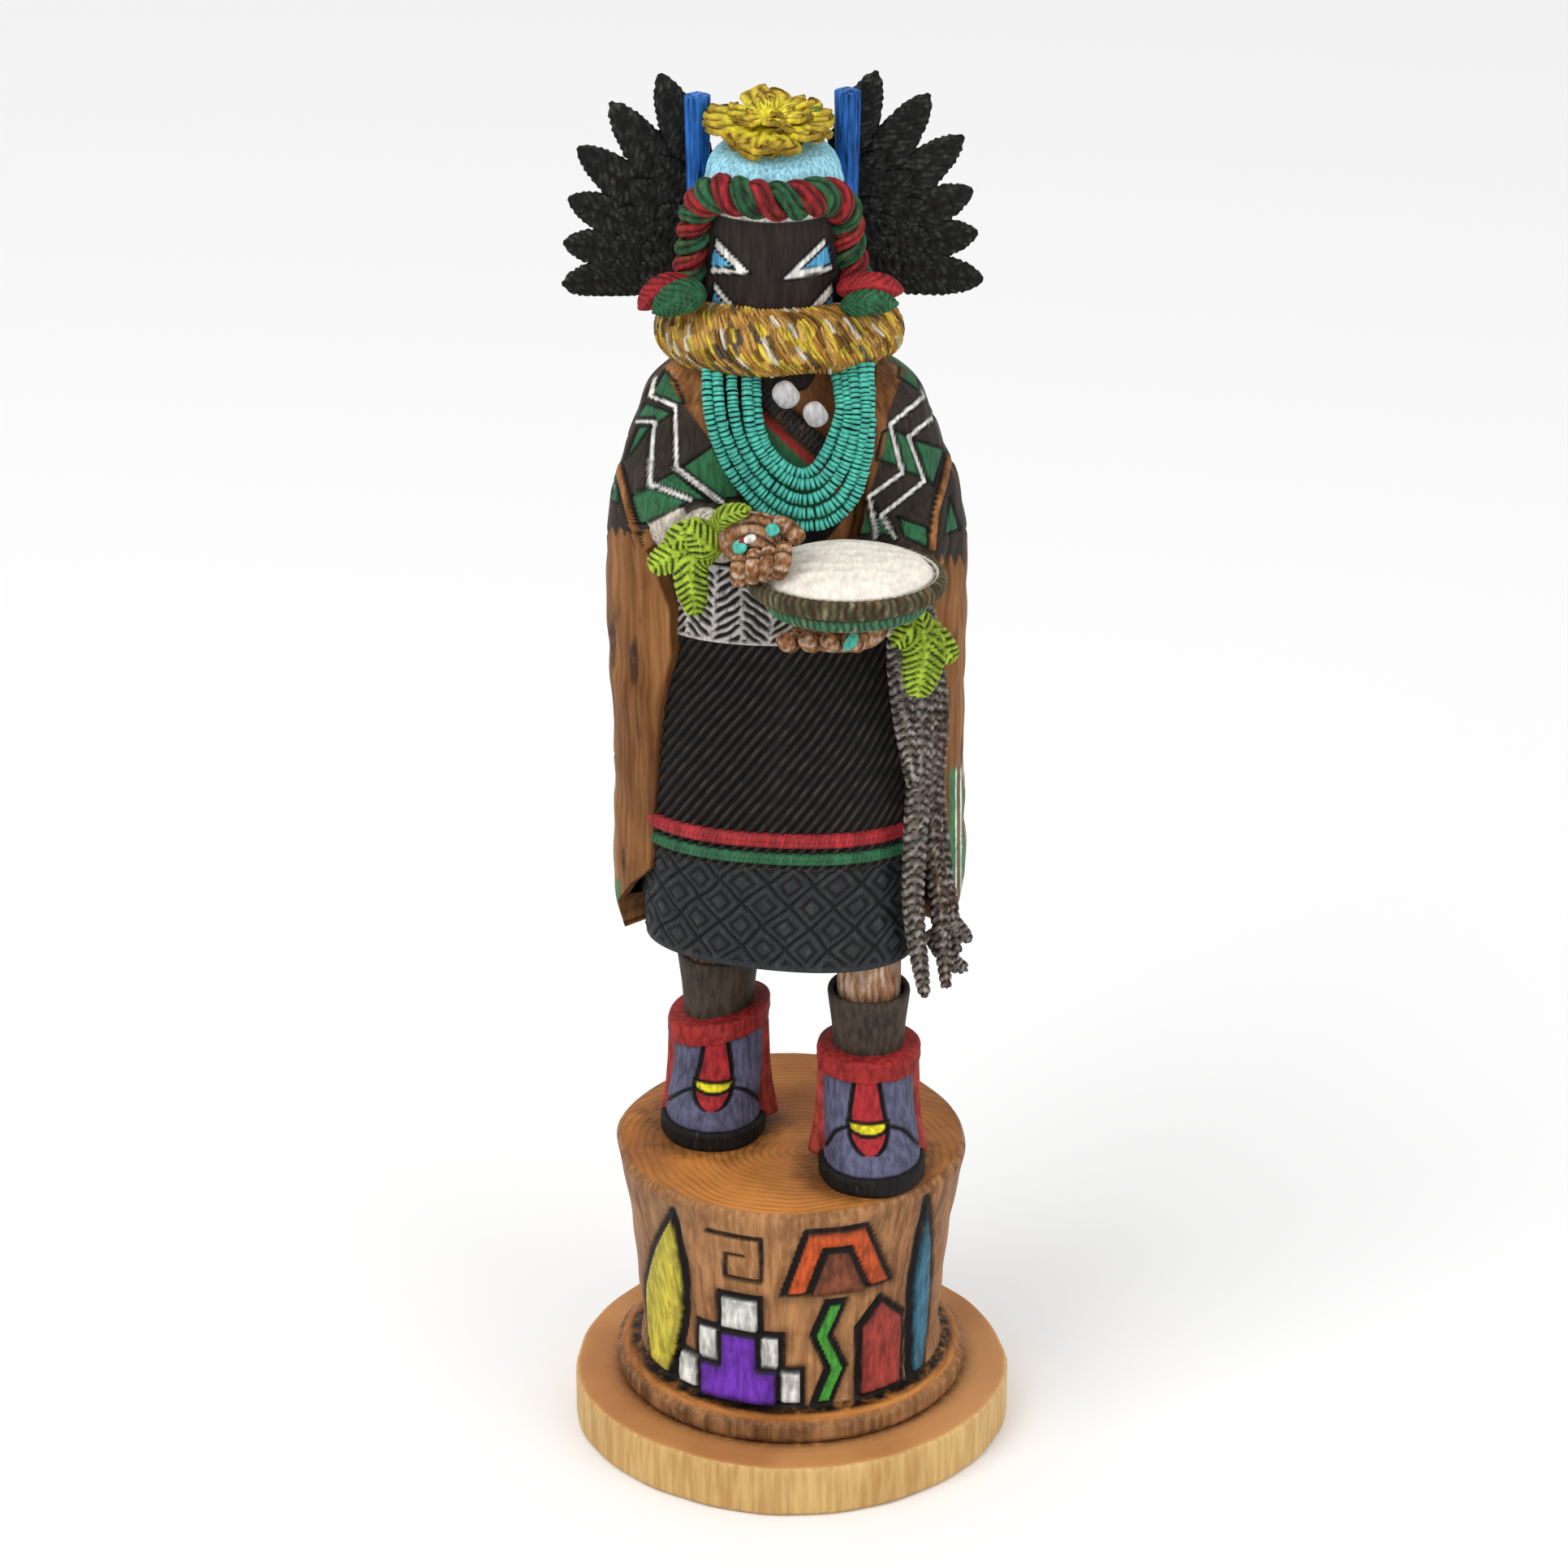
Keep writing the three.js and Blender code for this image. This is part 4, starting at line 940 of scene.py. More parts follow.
@dataclass(frozen=True)
class Dress:
    """The black dress with its lozenge border, two cords, twill and belt, and the chest above it."""

    hem: float = 51.0
    border_top: float = 73.0
    green_cord: float = 75.8
    red_cord: float = 79.8
    waist: float = 122.6
    belt_top: float = 139.0
    columns: int = 300
    finish: Finish = Finish("dress paint", streak=(1300.0, 1300.0, 420.0), fleck=0.16, streak_strength=0.3,
                            fleck_colour=srgb(96, 80, 68), roughness=(0.42, 0.66), specular=0.17)
    chest: Finish = Finish("chest paint", streak_strength=0.3)

    def ring(self, height: np.ndarray, grow: np.ndarray, columns: int) -> tuple[np.ndarray, np.ndarray]:
        """Rings of the body under the dress.

        Args:
            height: Heights above the soles.
            grow: How far each ring stands out.
            columns: Points in a ring, starting at the back.

        Returns:
            The points, and each point's way round from the front in millimetres.
        """
        mid_x, mid_y, half_x, half_y, twist = (v[:, None] for v in keyed(DRESS_ROWS, height))
        turn = front_turns(columns)
        x, y = oval(half_x + grow[:, None], half_y + grow[:, None], 2.3, turn[None])
        tilt = np.radians(twist)
        px = mid_x + x * np.cos(tilt) - y * np.sin(tilt)
        py = mid_y + x * np.sin(tilt) + y * np.cos(tilt)
        points = np.stack([px, py, np.broadcast_to(height[:, None] + SOLE, px.shape)], axis=2)
        middle = points[len(points) // 2]
        length = travelled(middle)
        return points, length - length[columns // 2]

    def zone(self, low: float, high: float, rows: int, grow: float = 0.0) -> tuple[Skin, np.ndarray,
                                                                                   np.ndarray]:
        """A band of the dress, with its way round and its height above its foot."""
        height = np.linspace(low, high, rows)
        points, way = self.ring(height, np.full(rows, grow), self.columns)
        return Skin(points), np.broadcast_to(way, points.shape[:2]), np.broadcast_to((height - low)[:, None],
                                                                                     points.shape[:2])

    def border(self) -> Skin:
        """Crossing lines with a small square cut in each lozenge."""
        skin, way, rise = self.zone(self.hem, self.border_top + 0.6, 50)
        pitch = 9.7
        bend = 0.06 * wander(way, rise, 12.0, 21)
        a, b = (way + rise * 1.02) / pitch + bend, (way - rise * 1.02) / pitch + bend
        lines = np.maximum(ridge(a, 0.08), ridge(b, 0.08))
        square = np.maximum(np.abs(fract(a) - 0.5), np.abs(fract(b) - 0.5))
        cut = near(square - 0.24, 0.03, 0.08)
        low = smooth(rise, 0.8, 1.6)
        skin.cover(Paint.CHARCOAL)
        skin.push(0.35 * (1.0 - smooth(square, 0.2, 0.42)) * low)
        skin.line(lines * low, 0.7).line(cut * low * 0.9, 0.4)
        worn = smooth(wander(way, rise, 3.0, 22), 0.2, 1.0) * 0.18
        return skin.cover(srgb(92, 88, 84), worn * (1.0 - lines))

    def twill(self) -> Skin:
        """Slanting grooves, low at the left and high at the right."""
        skin, way, rise = self.zone(self.border_top, self.waist + 0.4, 118)
        pitch, slant = 1.95, math.radians(55.0)
        phase = (rise * math.cos(slant) - way * math.sin(slant)) / pitch + 0.07 * wander(way, rise, 16.0, 31)
        plain = smooth(rise, 0.0, 1.0)
        groove = ridge(phase, 0.36)
        skin.cover(Paint.TWILL)
        skin.push(0.35 * (1.0 - groove) * plain - 0.7 * groove * plain)
        skin.groove = groove * 0.9
        # painted highlight: a pale stripe along one side of each rib
        light = ridge(phase + 0.36, 0.16) * smooth(wander(way, rise, 3.2, 33), -0.6, 0.9) * 0.7
        return skin.cover(srgb(78, 68, 64), light)

    def belt(self) -> Skin:
        """Grey belt with columns of slanting cuts that meet in chevrons."""
        skin, way, rise = self.zone(self.waist, self.belt_top, 58, 0.7)
        width, pitch = 11.6, 2.1
        column = (way + 3.4 + 0.5 * wander(way, rise, 14.0, 43)) / width
        fold = np.abs(fract(column) - 0.5) * 2.0
        stagger = np.floor(column * 2.0) % 2.0 * 0.5
        phase = (rise + fold * width * 0.36) / pitch + stagger + 0.12 * wander(way, rise, 5.0, 41)
        taper = smooth(np.minimum(fold, 1.0 - fold), 0.0, 0.16)
        cuts = ridge(phase, 0.1 + 0.3 * taper) * (0.25 + 0.75 * taper)
        skin.cover(Paint.GREY)
        edge = smooth(rise, 0.3, 0.9) * smooth(self.belt_top - self.waist - rise, 0.3, 0.9)
        soot = smooth(wander(way * 3.0, rise * 0.5, 2.4, 45), 0.35, 1.0) * 0.55
        return skin.cover(Paint.BLACK, soot).line(np.minimum(cuts * 1.5, 1.0) * edge, 0.5)

    def cord(self, height: float, radius: float, colour: Paint) -> Skin:
        """A cord laid round the dress, with slanting strand marks."""
        path, way = self.ring(np.array([height]), np.array([-0.25]), 360)
        path = path[0]
        along = unit(np.roll(path, -1, axis=0) - np.roll(path, 1, axis=0))
        out = np.cross(along, (0.0, 0.0, 1.0))
        turn = round_turns(18)
        ring = np.cos(turn)[:, None, None] * out + np.sin(turn)[:, None, None] * np.array([0.0, 0.0, 1.05])
        tucked = 1.0 - 0.65 * smooth(-path[:, 0], 28.4, 29.8)
        points = path[None] + ring * (radius * tucked)[None, :, None]
        skin = Skin(np.concatenate([points, points[:1]]))
        spin = np.concatenate([turn, [TAU]])[:, None]
        marks = ridge(np.broadcast_to(way / 1.0, (19, 360)) - spin / TAU * 3.0, 0.26)
        skin.cover(colour)
        skin.paint[..., :3] *= (1.0 + 0.25 * wander(way, way * 0, 3.0, 44))[None, :, None]
        skin.groove = marks * 0.5
        skin.points = skin.points + (out * -0.1)[None] * marks[..., None]
        return skin

    def upper(self) -> Skin:
        """Chest and neck: brown skin, the dress's black edge across it with a red line, and green cloth."""
        height = np.linspace(self.belt_top - 1.0, 186.0, 84)
        points = self.ring(height, np.zeros(84), 180)[0]
        skin = Skin(points)
        across, down = VIEW.pixels(points)
        skin.cover(Paint.SKIN, 0.35)
        slant = (down - 470.0) - (across - 960.0) * 0.95
        skin.cover(Paint.GREEN, smooth(slant, 68.0, 71.0))
        skin.cover(Paint.RED, smooth(slant, 54.0, 57.0) * smooth(slant, 69.0, 66.0))
        strap = smooth(slant, 14.0, 18.0) * smooth(slant, 54.0, 50.0)
        skin.cover(srgb(46, 42, 40), strap)
        lapel = [(1016, 668), (1040, 640), (1062, 600), (1074, 550), (1086, 552), (1076, 604), (1064, 668)]
        ribs = ridge((across + down * 0.9) / 9.5, 0.25) * strap
        skin.push(2.2 * strap).line(ribs, 0.5)
        belt_edge = smooth(down, 640.0, 650.0)
        skin.cover(Paint.BLACK, belt_edge)
        return skin.cover(Paint.BARE, smooth(inside(lapel, across, down), -1.0, 1.0), 0.0)

    def make(self) -> list[bpy.types.Object]:
        """Builds the dress in its zones."""
        paint = self.finish.material()
        cords = Carving("dress_cords")
        pieces = [Carving("dress_border").add(self.border()).make(paint),
                  Carving("dress_twill").add(self.twill()).make(paint),
                  Carving("belt").add(self.belt()).make(paint),
                  Carving("chest").add(self.upper()).make(self.chest.material())]
        for height, radius, colour in ((self.green_cord, 1.3, Paint.GREEN), (self.red_cord, 1.6, Paint.RED)):
            cords.add(self.cord(height, radius, colour))
        return pieces + [cords.make(paint)]


class SetOut:
    """A Geometry Nodes tree that sets copies of one carved piece on points."""

    def __init__(self, name: str) -> None:
        """Builds the tree.

        Args:
            name: The tree's name.
        """
        self.tree = bpy.data.node_groups.new(name, "GeometryNodeTree")
        face = self.tree.interface
        face.new_socket("Geometry", in_out="OUTPUT", socket_type="NodeSocketGeometry")
        face.new_socket("Points", in_out="INPUT", socket_type="NodeSocketGeometry")
        self.keys = {}
        for label, kind in (("Copy", "NodeSocketObject"), ("Finish", "NodeSocketMaterial"),
                            ("Growth", "NodeSocketFloat")):
            self.keys[label] = face.new_socket(label, in_out="INPUT", socket_type=kind).identifier
        given = self._node("NodeGroupInput", {}, {})
        copy = self._node("GeometryNodeObjectInfo", {"transform_space": "ORIGINAL"},
                          {"Object": given.outputs["Copy"]})
        turn = self._node("GeometryNodeInputNamedAttribute", {"data_type": "FLOAT_VECTOR"}, {"Name": "turn"})
        size = self._node("GeometryNodeInputNamedAttribute", {"data_type": "FLOAT_VECTOR"}, {"Name": "size"})
        grown = self._node("ShaderNodeVectorMath", {"operation": "SCALE"},
                           {0: size.outputs[0], "Scale": given.outputs["Growth"]})
        links = {"Points": given.outputs["Points"], "Instance": copy.outputs["Geometry"],
                 "Rotation": turn.outputs[0], "Scale": grown.outputs[0]}
        placed = self._node("GeometryNodeInstanceOnPoints", {}, links)
        real = self._node("GeometryNodeRealizeInstances", {}, {"Geometry": placed.outputs[0]})
        dressed = self._node("GeometryNodeSetMaterial", {},
                             {"Geometry": real.outputs[0], "Material": given.outputs["Finish"]})
        self._node("NodeGroupOutput", {}, {"Geometry": dressed.outputs[0]})

    def _node(self, kind: str, settings: dict, links: dict) -> bpy.types.Node:
        """Adds a node with its settings and its links or values."""
        made = self.tree.nodes.new(kind)
        for name, value in settings.items():
            setattr(made, name, value)
        for name, value in links.items():
            if isinstance(value, bpy.types.NodeSocket):
                self.tree.links.new(value, made.inputs[name])
            else:
                made.inputs[name].default_value = value
        return made

    def make(self, name: str, copy: bpy.types.Object, places: np.ndarray, turns: np.ndarray,
             sizes: np.ndarray, material: bpy.types.Material, growth: float = 1.0) -> bpy.types.Object:
        """Sets the copies and turns them into a plain mesh.

        Args:
            name: The new piece's name.
            copy: The piece to copy, which is then deleted.
            places: Each copy's place, in millimetres.
            turns: Each copy's turns about X, Y and Z, in radians.
            sizes: Each copy's size along its own axes.
            material: The finish.
            growth: A size for all copies.

        Returns:
            The piece.
        """
        mesh = bpy.data.meshes.new(name + "_points")
        mesh.from_pydata((np.asarray(places) * MM).tolist(), [], [])
        for label, values in (("turn", turns), ("size", sizes)):
            layer = mesh.attributes.new(label, "FLOAT_VECTOR", "POINT")
            layer.data.foreach_set("vector", np.asarray(values, dtype=np.float32).reshape(-1))
        points = bpy.data.objects.new(name + "_points", mesh)
        bpy.context.scene.collection.objects.link(points)
        modifier = points.modifiers.new("set out", "NODES")
        modifier.node_group = self.tree
        for label, value in (("Copy", copy), ("Finish", material), ("Growth", growth)):
            modifier[self.keys[label]] = value
        depsgraph = bpy.context.evaluated_depsgraph_get()
        plain = bpy.data.meshes.new_from_object(points.evaluated_get(depsgraph),
                                                preserve_all_data_layers=True,
                                                depsgraph=depsgraph)
        plain.name = name
        made = bpy.data.objects.new(name, plain)
        bpy.context.scene.collection.objects.link(made)
        for spare in (points, copy):
            bpy.data.objects.remove(spare)
        return made


SHAWL_ROWS = [(50, -36, 35, -20, 27), (57, -37.5, 36.4, -20, 27.6), (63, -37.6, 37, -20, 28),
              (76, -37.3, 36.6, -20, 28),
              (95, -37.4, 36.2, -20, 28), (113, -38, 36.3, -20, 28), (132, -38.4, 36.4, -20.5, 27.6),
              (142, -37.9, 35.9, -21, 27), (150, -36.5, 34.3, -22, 26), (158, -34.1, 31.6, -22.6, 24.5),
              (165, -31.6, 29, -22.6, 22.6), (172.6, -29, 25.7, -21.6, 19.6), (181, -20, 15, -17, 14)]
LEFT_EDGE = [(50, -38.4), (58, -36.4), (63.6, -33.8), (68.6, -29.8), (80, -28.8), (107, -27.6), (118, -25),
             (128, -25), (137, -28),
             (141, -30), (144, -27.5), (147, -20), (150, -12.5), (154, -10.5), (162, -11.8), (172, -12.5),
             (182, -13)]
RIGHT_EDGE = [(50, 34.5), (58, 33), (69, 31), (74, 29), (107, 27.4), (118, 26), (124, 28), (130, 29),
              (134, 27), (137, 20),
              (139.5, 13), (142, 11), (150, 14.5), (162, 15.6), (172, 15.6), (182, 15.5)]
GREEN_PANELS = [
    [(803, 483), (819, 456), (830, 466), (843, 496), (831, 496)],
    [(783, 515), (795, 496), (828, 509), (807, 524), (806, 514)],
    [(770, 566), (786, 525), (801, 525), (775, 562)],
    [(776, 612), (800, 599), (850, 616), (830, 628), (797, 645), (786, 645)],
    [(803, 595), (831, 581), (876, 618), (853, 614)],
    [(879, 549), (839, 576), (889, 616), (919, 612), (906, 596), (886, 566)],
    [(750, 616), (760, 586), (763, 621)],
    [(1111, 440), (1128, 460), (1136, 483), (1106, 463)],
    [(1088, 533), (1100, 526), (1110, 576), (1080, 566)],
    [(1065, 616), (1077, 660), (1057, 659)],
    [(1101, 528), (1121, 539), (1140, 589), (1115, 581)],
    [(1075, 616), (1085, 637), (1098, 660), (1081, 660)],
    [(1126, 541), (1164, 553), (1151, 599), (1143, 589)],
    [(1106, 637), (1143, 649), (1144, 675), (1115, 662)],
    [(1171, 612), (1183, 652), (1164, 659)],
]
BARE_PANELS = [
    [(806, 425), (862, 452), (876, 530), (880, 548), (834, 486)],
    [(1116, 430), (1112, 460), (1093, 512), (1090, 552), (1073, 600), (1060, 660), (1030, 662), (1076, 560),
     (1080, 452)],
]
WHITE_LINES = [
    [(806, 464), (799.6, 487), (831, 499.5), (832.8, 576), (889, 619)],
    [(778, 518), (804.6, 520), (799.6, 595.7), (850, 614)],
    [(1114.7, 438), (1133, 460), (1141, 487), (1098, 523), (1113, 582.4), (1071.6, 612.3), (1080, 662)],
    [(1156, 509.5), (1121.3, 537.6), (1140.6, 592.4), (1086.5, 635.5), (1102, 662)],
]
RIDGES = [
    [(762, 570), (770, 605), (778, 640), (788, 676), (792, 720)],
    [(1171, 552), (1163, 590), (1152, 632), (1148, 676)],
]


@dataclass(frozen=True)
class Shawl:
    """The carved shawl: open in front, with embroidered shoulders, bare wood sides and a green hem band."""

    wall: float = 9.6
    hem_wall: float = 1.7
    back_hem: float = 62.0
    corner: float = 50.0
    top: float = 181.0
    band_foot: float = 139.0
    finish: Finish = Finish("shawl paint", wood_light=srgb(178, 124, 72), wood_dark=srgb(86, 46, 18),
                            grain=(680.0, 680.0, 36.0), streak=(1100.0, 1100.0, 240.0), fleck=0.34,
                            fleck_colour=srgb(120, 84, 56))

    def paint(self, skin: Skin) -> Skin:
        """Paints the embroidered shoulders as the photograph shows them, and plainer bands behind."""
        points = skin.points.copy()
        across, down = VIEW.pixels(points)
        x, y, z = points[..., 0], points[..., 1], points[..., 2] - SOLE
        front = smooth(y, 2.0, -2.0)
        self.shoulders(skin, x, across, down, front)
        self.back_band(skin, x, y, z, 1.0 - front)
        self.hem_band(skin, y, z, smooth(y, 0.5, 2.5))
        self.hem_corners(skin, x, across, down, front)
        stain = smooth(wander(x * 2.0, z * 0.22, 7.0, 57), 0.75, 1.1) * front * smooth(z, 132.0, 118.0)
        return skin.add_shade_and_stain(stain * 0.75 * (skin.paint[..., 3] < 0.1))

    @staticmethod
    def shoulders(skin: Skin, x: np.ndarray, across: np.ndarray, down: np.ndarray, front: np.ndarray) -> None:
        """Dark ground with green panels and white zigzags, as they fall in the photograph."""
        side_way = np.where(x < 0.0, across - 770.0, 1166.0 - across)
        teeth = np.abs(fract(across / 11.0) - 0.5) * 2.0
        low = np.where(x < 0.0, 650.0 + 14.0 * teeth, 684.0 + 18.0 * teeth)
        band = smooth(down, low, low - 4.0) * front
        skin.cover(srgb(48, 40, 34), band)
        lines = np.zeros(x.shape)
        for outline in GREEN_PANELS:
            reach = inside(outline, across, down)
            skin.cover(Paint.GREEN, smooth(reach, -0.6, 0.6) * band)
            lines = np.maximum(lines, near(reach, 0.5, 2.6) * band)
        for outline in BARE_PANELS:
            skin.cover(Paint.BARE, smooth(inside(outline, across, down), -1.0, 1.0) * front, 0.0)
        skin.line(lines, 0.35)
        for line in WHITE_LINES:
            far = from_line(line, across, down)
            skin.line(near(far, 3.6, 6.0) * band, 0.25)
            skin.cover(Paint.WHITE, near(far, 1.7, 3.4) * band)
            skin.groove *= 1.0 - 0.9 * near(far, 1.7, 3.4) * band
        for line in RIDGES:
            far = from_line(line, across, down)
            skin.cover(Paint.BARE, near(far, 3.0, 4.4) * front, 0.0)
            skin.push(0.7 * near(far, 2.0, 6.0) * front)
            skin.line(near(far - 5.0, 0.4, 1.6) * front * smooth(down, 700.0, 650.0), 0.3)
        skin.cover(Paint.BARE, smooth(-side_way, 2.0, 6.0) * front * smooth(down, low, low + 3.0), 0.0)

    def back_band(self, skin: Skin, x: np.ndarray, y: np.ndarray, z: np.ndarray, behind: np.ndarray) -> None:
        """Green lozenges between two zigzags across the back."""
        angle = np.arctan2(y - 2.0, x) * 30.0
        zig = np.abs(fract(angle / 17.0) - 0.5) * 17.0
        rear = smooth(z, self.band_foot - 2.0, self.band_foot) * behind
        skin.cover(Paint.BLACK, rear)
        lozenge = np.sin(angle * TAU / 17.0) + np.sin((z + zig) * TAU / 15.0)
        skin.cover(Paint.GREEN, smooth(lozenge, 0.0, 0.25) * rear)
        for level in (self.band_foot + 10.0, self.band_foot + 20.0):
            far = z - level - zig * 0.8
            skin.line(near(far, 0.7, 1.2) * rear, 0.25)
            skin.cover(Paint.WHITE, near(far, 0.35, 0.65) * rear)
        skin.line(near(z - self.band_foot, 0.3, 0.9) * behind, 0.35)

    @staticmethod
    def hem_band(skin: Skin, y: np.ndarray, z: np.ndarray, side_on: np.ndarray) -> None:
        """The green band along the hem, with its white and red stripes."""
        top = 88.0
        skin.cover(Paint.HEM_GREEN, smooth(z, top, top - 2.0) * side_on * 0.95)
        for level, colour in ((84.0, Paint.WHITE), (81.6, Paint.WHITE), (66.0, Paint.WHITE),
                              (63.6, Paint.RED)):
            skin.cover(colour, near(z - level, 0.25, 0.6) * side_on)
        for reach, colour in ((2.6, Paint.WHITE), (5.0, Paint.RED), (7.4, Paint.WHITE)):
            skin.cover(colour, near(y - reach, 0.25, 0.55) * smooth(z, top, top - 2.0))
        skin.line(near(z - top, 0.3, 0.9) * side_on, 0.3)

    @staticmethod
    def hem_corners(skin: Skin, x: np.ndarray, across: np.ndarray, down: np.ndarray,
                    front: np.ndarray) -> None:
        """What the photograph shows of the band at both front corners."""
        left = smooth(across, 766.0, 763.0) * smooth(down, 1078.0, 1088.0)
        right = smooth(across, 1168.5, 1171.0) * smooth(down, 942.0, 950.0)
        skin.cover(Paint.HEM_GREEN, np.where(x < 0.0, left, right) * front * 0.95)
        for reach, colour in ((1178.0, Paint.WHITE), (1181.0, Paint.RED), (1184.0, Paint.WHITE)):
            skin.cover(colour, near(across - reach, 0.5, 1.0) * right * (x > 0.0) * front)

    def foot(self, lanes: np.ndarray) -> np.ndarray:
        """The height of the lower edge: level behind, with a hanging point at each front corner."""
        reach = smooth(np.abs(lanes), 0.0, 1.0)
        corner = smooth(np.abs(lanes), 0.80, 1.0)
        return self.back_hem - (self.back_hem - self.corner) * corner - 2.0 * reach * (1.0 - corner)

    @staticmethod
    def lanes() -> tuple[np.ndarray, np.ndarray]:
        """Each lane's way round, from -1 to 1, and its depth in the wall, from 0 outside to 1 inside."""
        edge, inner = 10, 24
        around = np.concatenate([np.linspace(-1.0, -0.42, 96), np.linspace(-0.42, 0.42, 36)[1:-1],
                                 np.linspace(0.42, 1.0, 96)])
        lanes = [around, np.full(edge, 1.0), np.linspace(1.0, -1.0, inner), np.full(edge, -1.0)]
        inwards = np.linspace(0, 1, edge + 2)[1:-1]
        depth = [np.zeros(len(around)), inwards, np.ones(inner), np.linspace(1, 0, edge + 2)[1:-1]]
        return np.concatenate(lanes), np.concatenate(depth)

    @staticmethod
    def opening(height: np.ndarray, mid_x: np.ndarray, half_x: np.ndarray, power: float) -> list[np.ndarray]:
        """How far each front edge is from the middle at each height, bent as the oval is."""
        made = []
        for edge in (LEFT_EDGE, RIGHT_EDGE):
            limit = np.clip((np.interp(height, *np.asarray(edge).T) - mid_x) / half_x, -0.985, 0.985)
            made.append(np.sign(limit) * np.abs(limit) ** (power / 2))
        return made

    def sheet(self) -> Skin:
        """The shawl as a thick sheet, whose rings run round the outside and back along the inside."""
        share = np.concatenate([np.linspace(0.0, 0.25, 34), np.linspace(0.25, 0.55, 22)[1:],
                                np.linspace(0.55, 1.0, 130)[1:]])[:, None]
        lanes, depth = self.lanes()
        foot = self.foot(lanes) + 9.0 * depth * smooth(np.abs(lanes), 0.9, 1.0)
        height = foot[None] + (self.top - foot[None]) * share
        left, right, front, back = keyed(SHAWL_ROWS, height)
        half_x, half_y = (right - left) / 2, (back - front) / 2
        mid_x, mid_y = (left + right) / 2, (front + back) / 2
        power = 2.25
        left_edge, right_edge = self.opening(height, mid_x, half_x, power)
        start = math.pi + np.arccos(np.clip(-left_edge, -1, 1))
        end = -np.arccos(np.clip(right_edge, -1, 1))
        turn = start + (end - start) * (lanes[None] + 1.0) / 2.0
        wall = self.hem_wall + (self.wall - self.hem_wall) * smooth(height, self.corner + 19.0, 75.0)
        wall = wall * (1.0 - 0.5 * smooth(height, 150.0, 176.0))
        wall = wall * (0.16 + 0.84 * smooth(height, self.corner - 1.0, self.corner + 7.0))
        x, y = oval(half_x - wall * depth, half_y - wall * depth, power, turn)
        points = np.stack([mid_x + x, mid_y + y, height + SOLE], axis=2)
        skin = Skin(points)
        rough = 0.28 * wander(points[..., 0] + points[..., 1], points[..., 2], 13.0, 51)
        skin.push(rough * (1.0 - depth)[None])
        self.paint(skin)
        self.darken(skin, points, height, lanes, depth)
        return skin

    @staticmethod
    def darken(skin: Skin, points: np.ndarray, height: np.ndarray, lanes: np.ndarray,
               depth: np.ndarray) -> None:
        """Bares the sheet's edge and inside, paints shade on them, and darkens the front sides."""
        x, z = points[..., 0], points[..., 2]
        skin.cover(Paint.BARE, np.broadcast_to(smooth(depth, 0.02, 0.08), height.shape), 0.0)
        # painted shade on the inside, deeper lower down
        skin.add_shade_and_stain(smooth(depth, 0.3, 1.0)[None] * smooth(height, 150.0, 130.0) * 0.75)
        # the front edge faces get darker brown and painted shade, as they look into the gap towards the dress
        face = ((np.abs(lanes) > 0.995) & (depth > 0.04))[None]
        skin.cover(srgb(112, 62, 26), face * (0.5 + 0.25 * wander(x * 2.0, z * 0.3, 9.0, 53)))
        skin.add_shade_and_stain(face * (0.26 + 0.16 * wander(x * 2.0, z * 0.3, 7.0, 52)))
        # painted shade on a band of the inside
        skin.add_shade_and_stain(((depth > 0.3) & (depth < 0.5))[None] * 0.55)
        stain = smooth(np.abs(lanes), 0.55, 0.85)[None] * (0.42 + 0.2 * wander(x * 3.0, z * 0.2, 9.0, 54))
        skin.cover(srgb(108, 58, 22), stain * (1.0 - skin.paint[..., 3]))

    def sleeves(self) -> Carving:
        """The upper sleeves, with the pale forearm showing below the first one's hem."""
        made = Carving("sleeves")
        hem = [(786, 668), (796, 648), (834, 626), (880, 630), (886, 712), (790, 712)]
        for keys, radius in ((((-22, -4, 225), (-23.6, -13, 221.5), (-19.5, -22.4, 217.6)), (9.8, 6.6)),
                             (((23, -4, 218), (24.4, -13, 211), (23, -19, 206)), (9.2, 6.4))):
            sleeve = tube(curve(keys, 56), np.linspace(*radius, 56), 84)
            self.paint(sleeve)
            cuff = inside(hem, *VIEW.pixels(sleeve.points))
            made.add(sleeve.cover(Paint.FOREARM, smooth(cuff, -1.0, 1.0)))
        return made

    def make(self) -> list[bpy.types.Object]:
        """Builds the shawl and its sleeves."""
        paint = self.finish.material()
        return [Carving("shawl").add(self.sheet()).make(paint), self.sleeves().make(paint)]


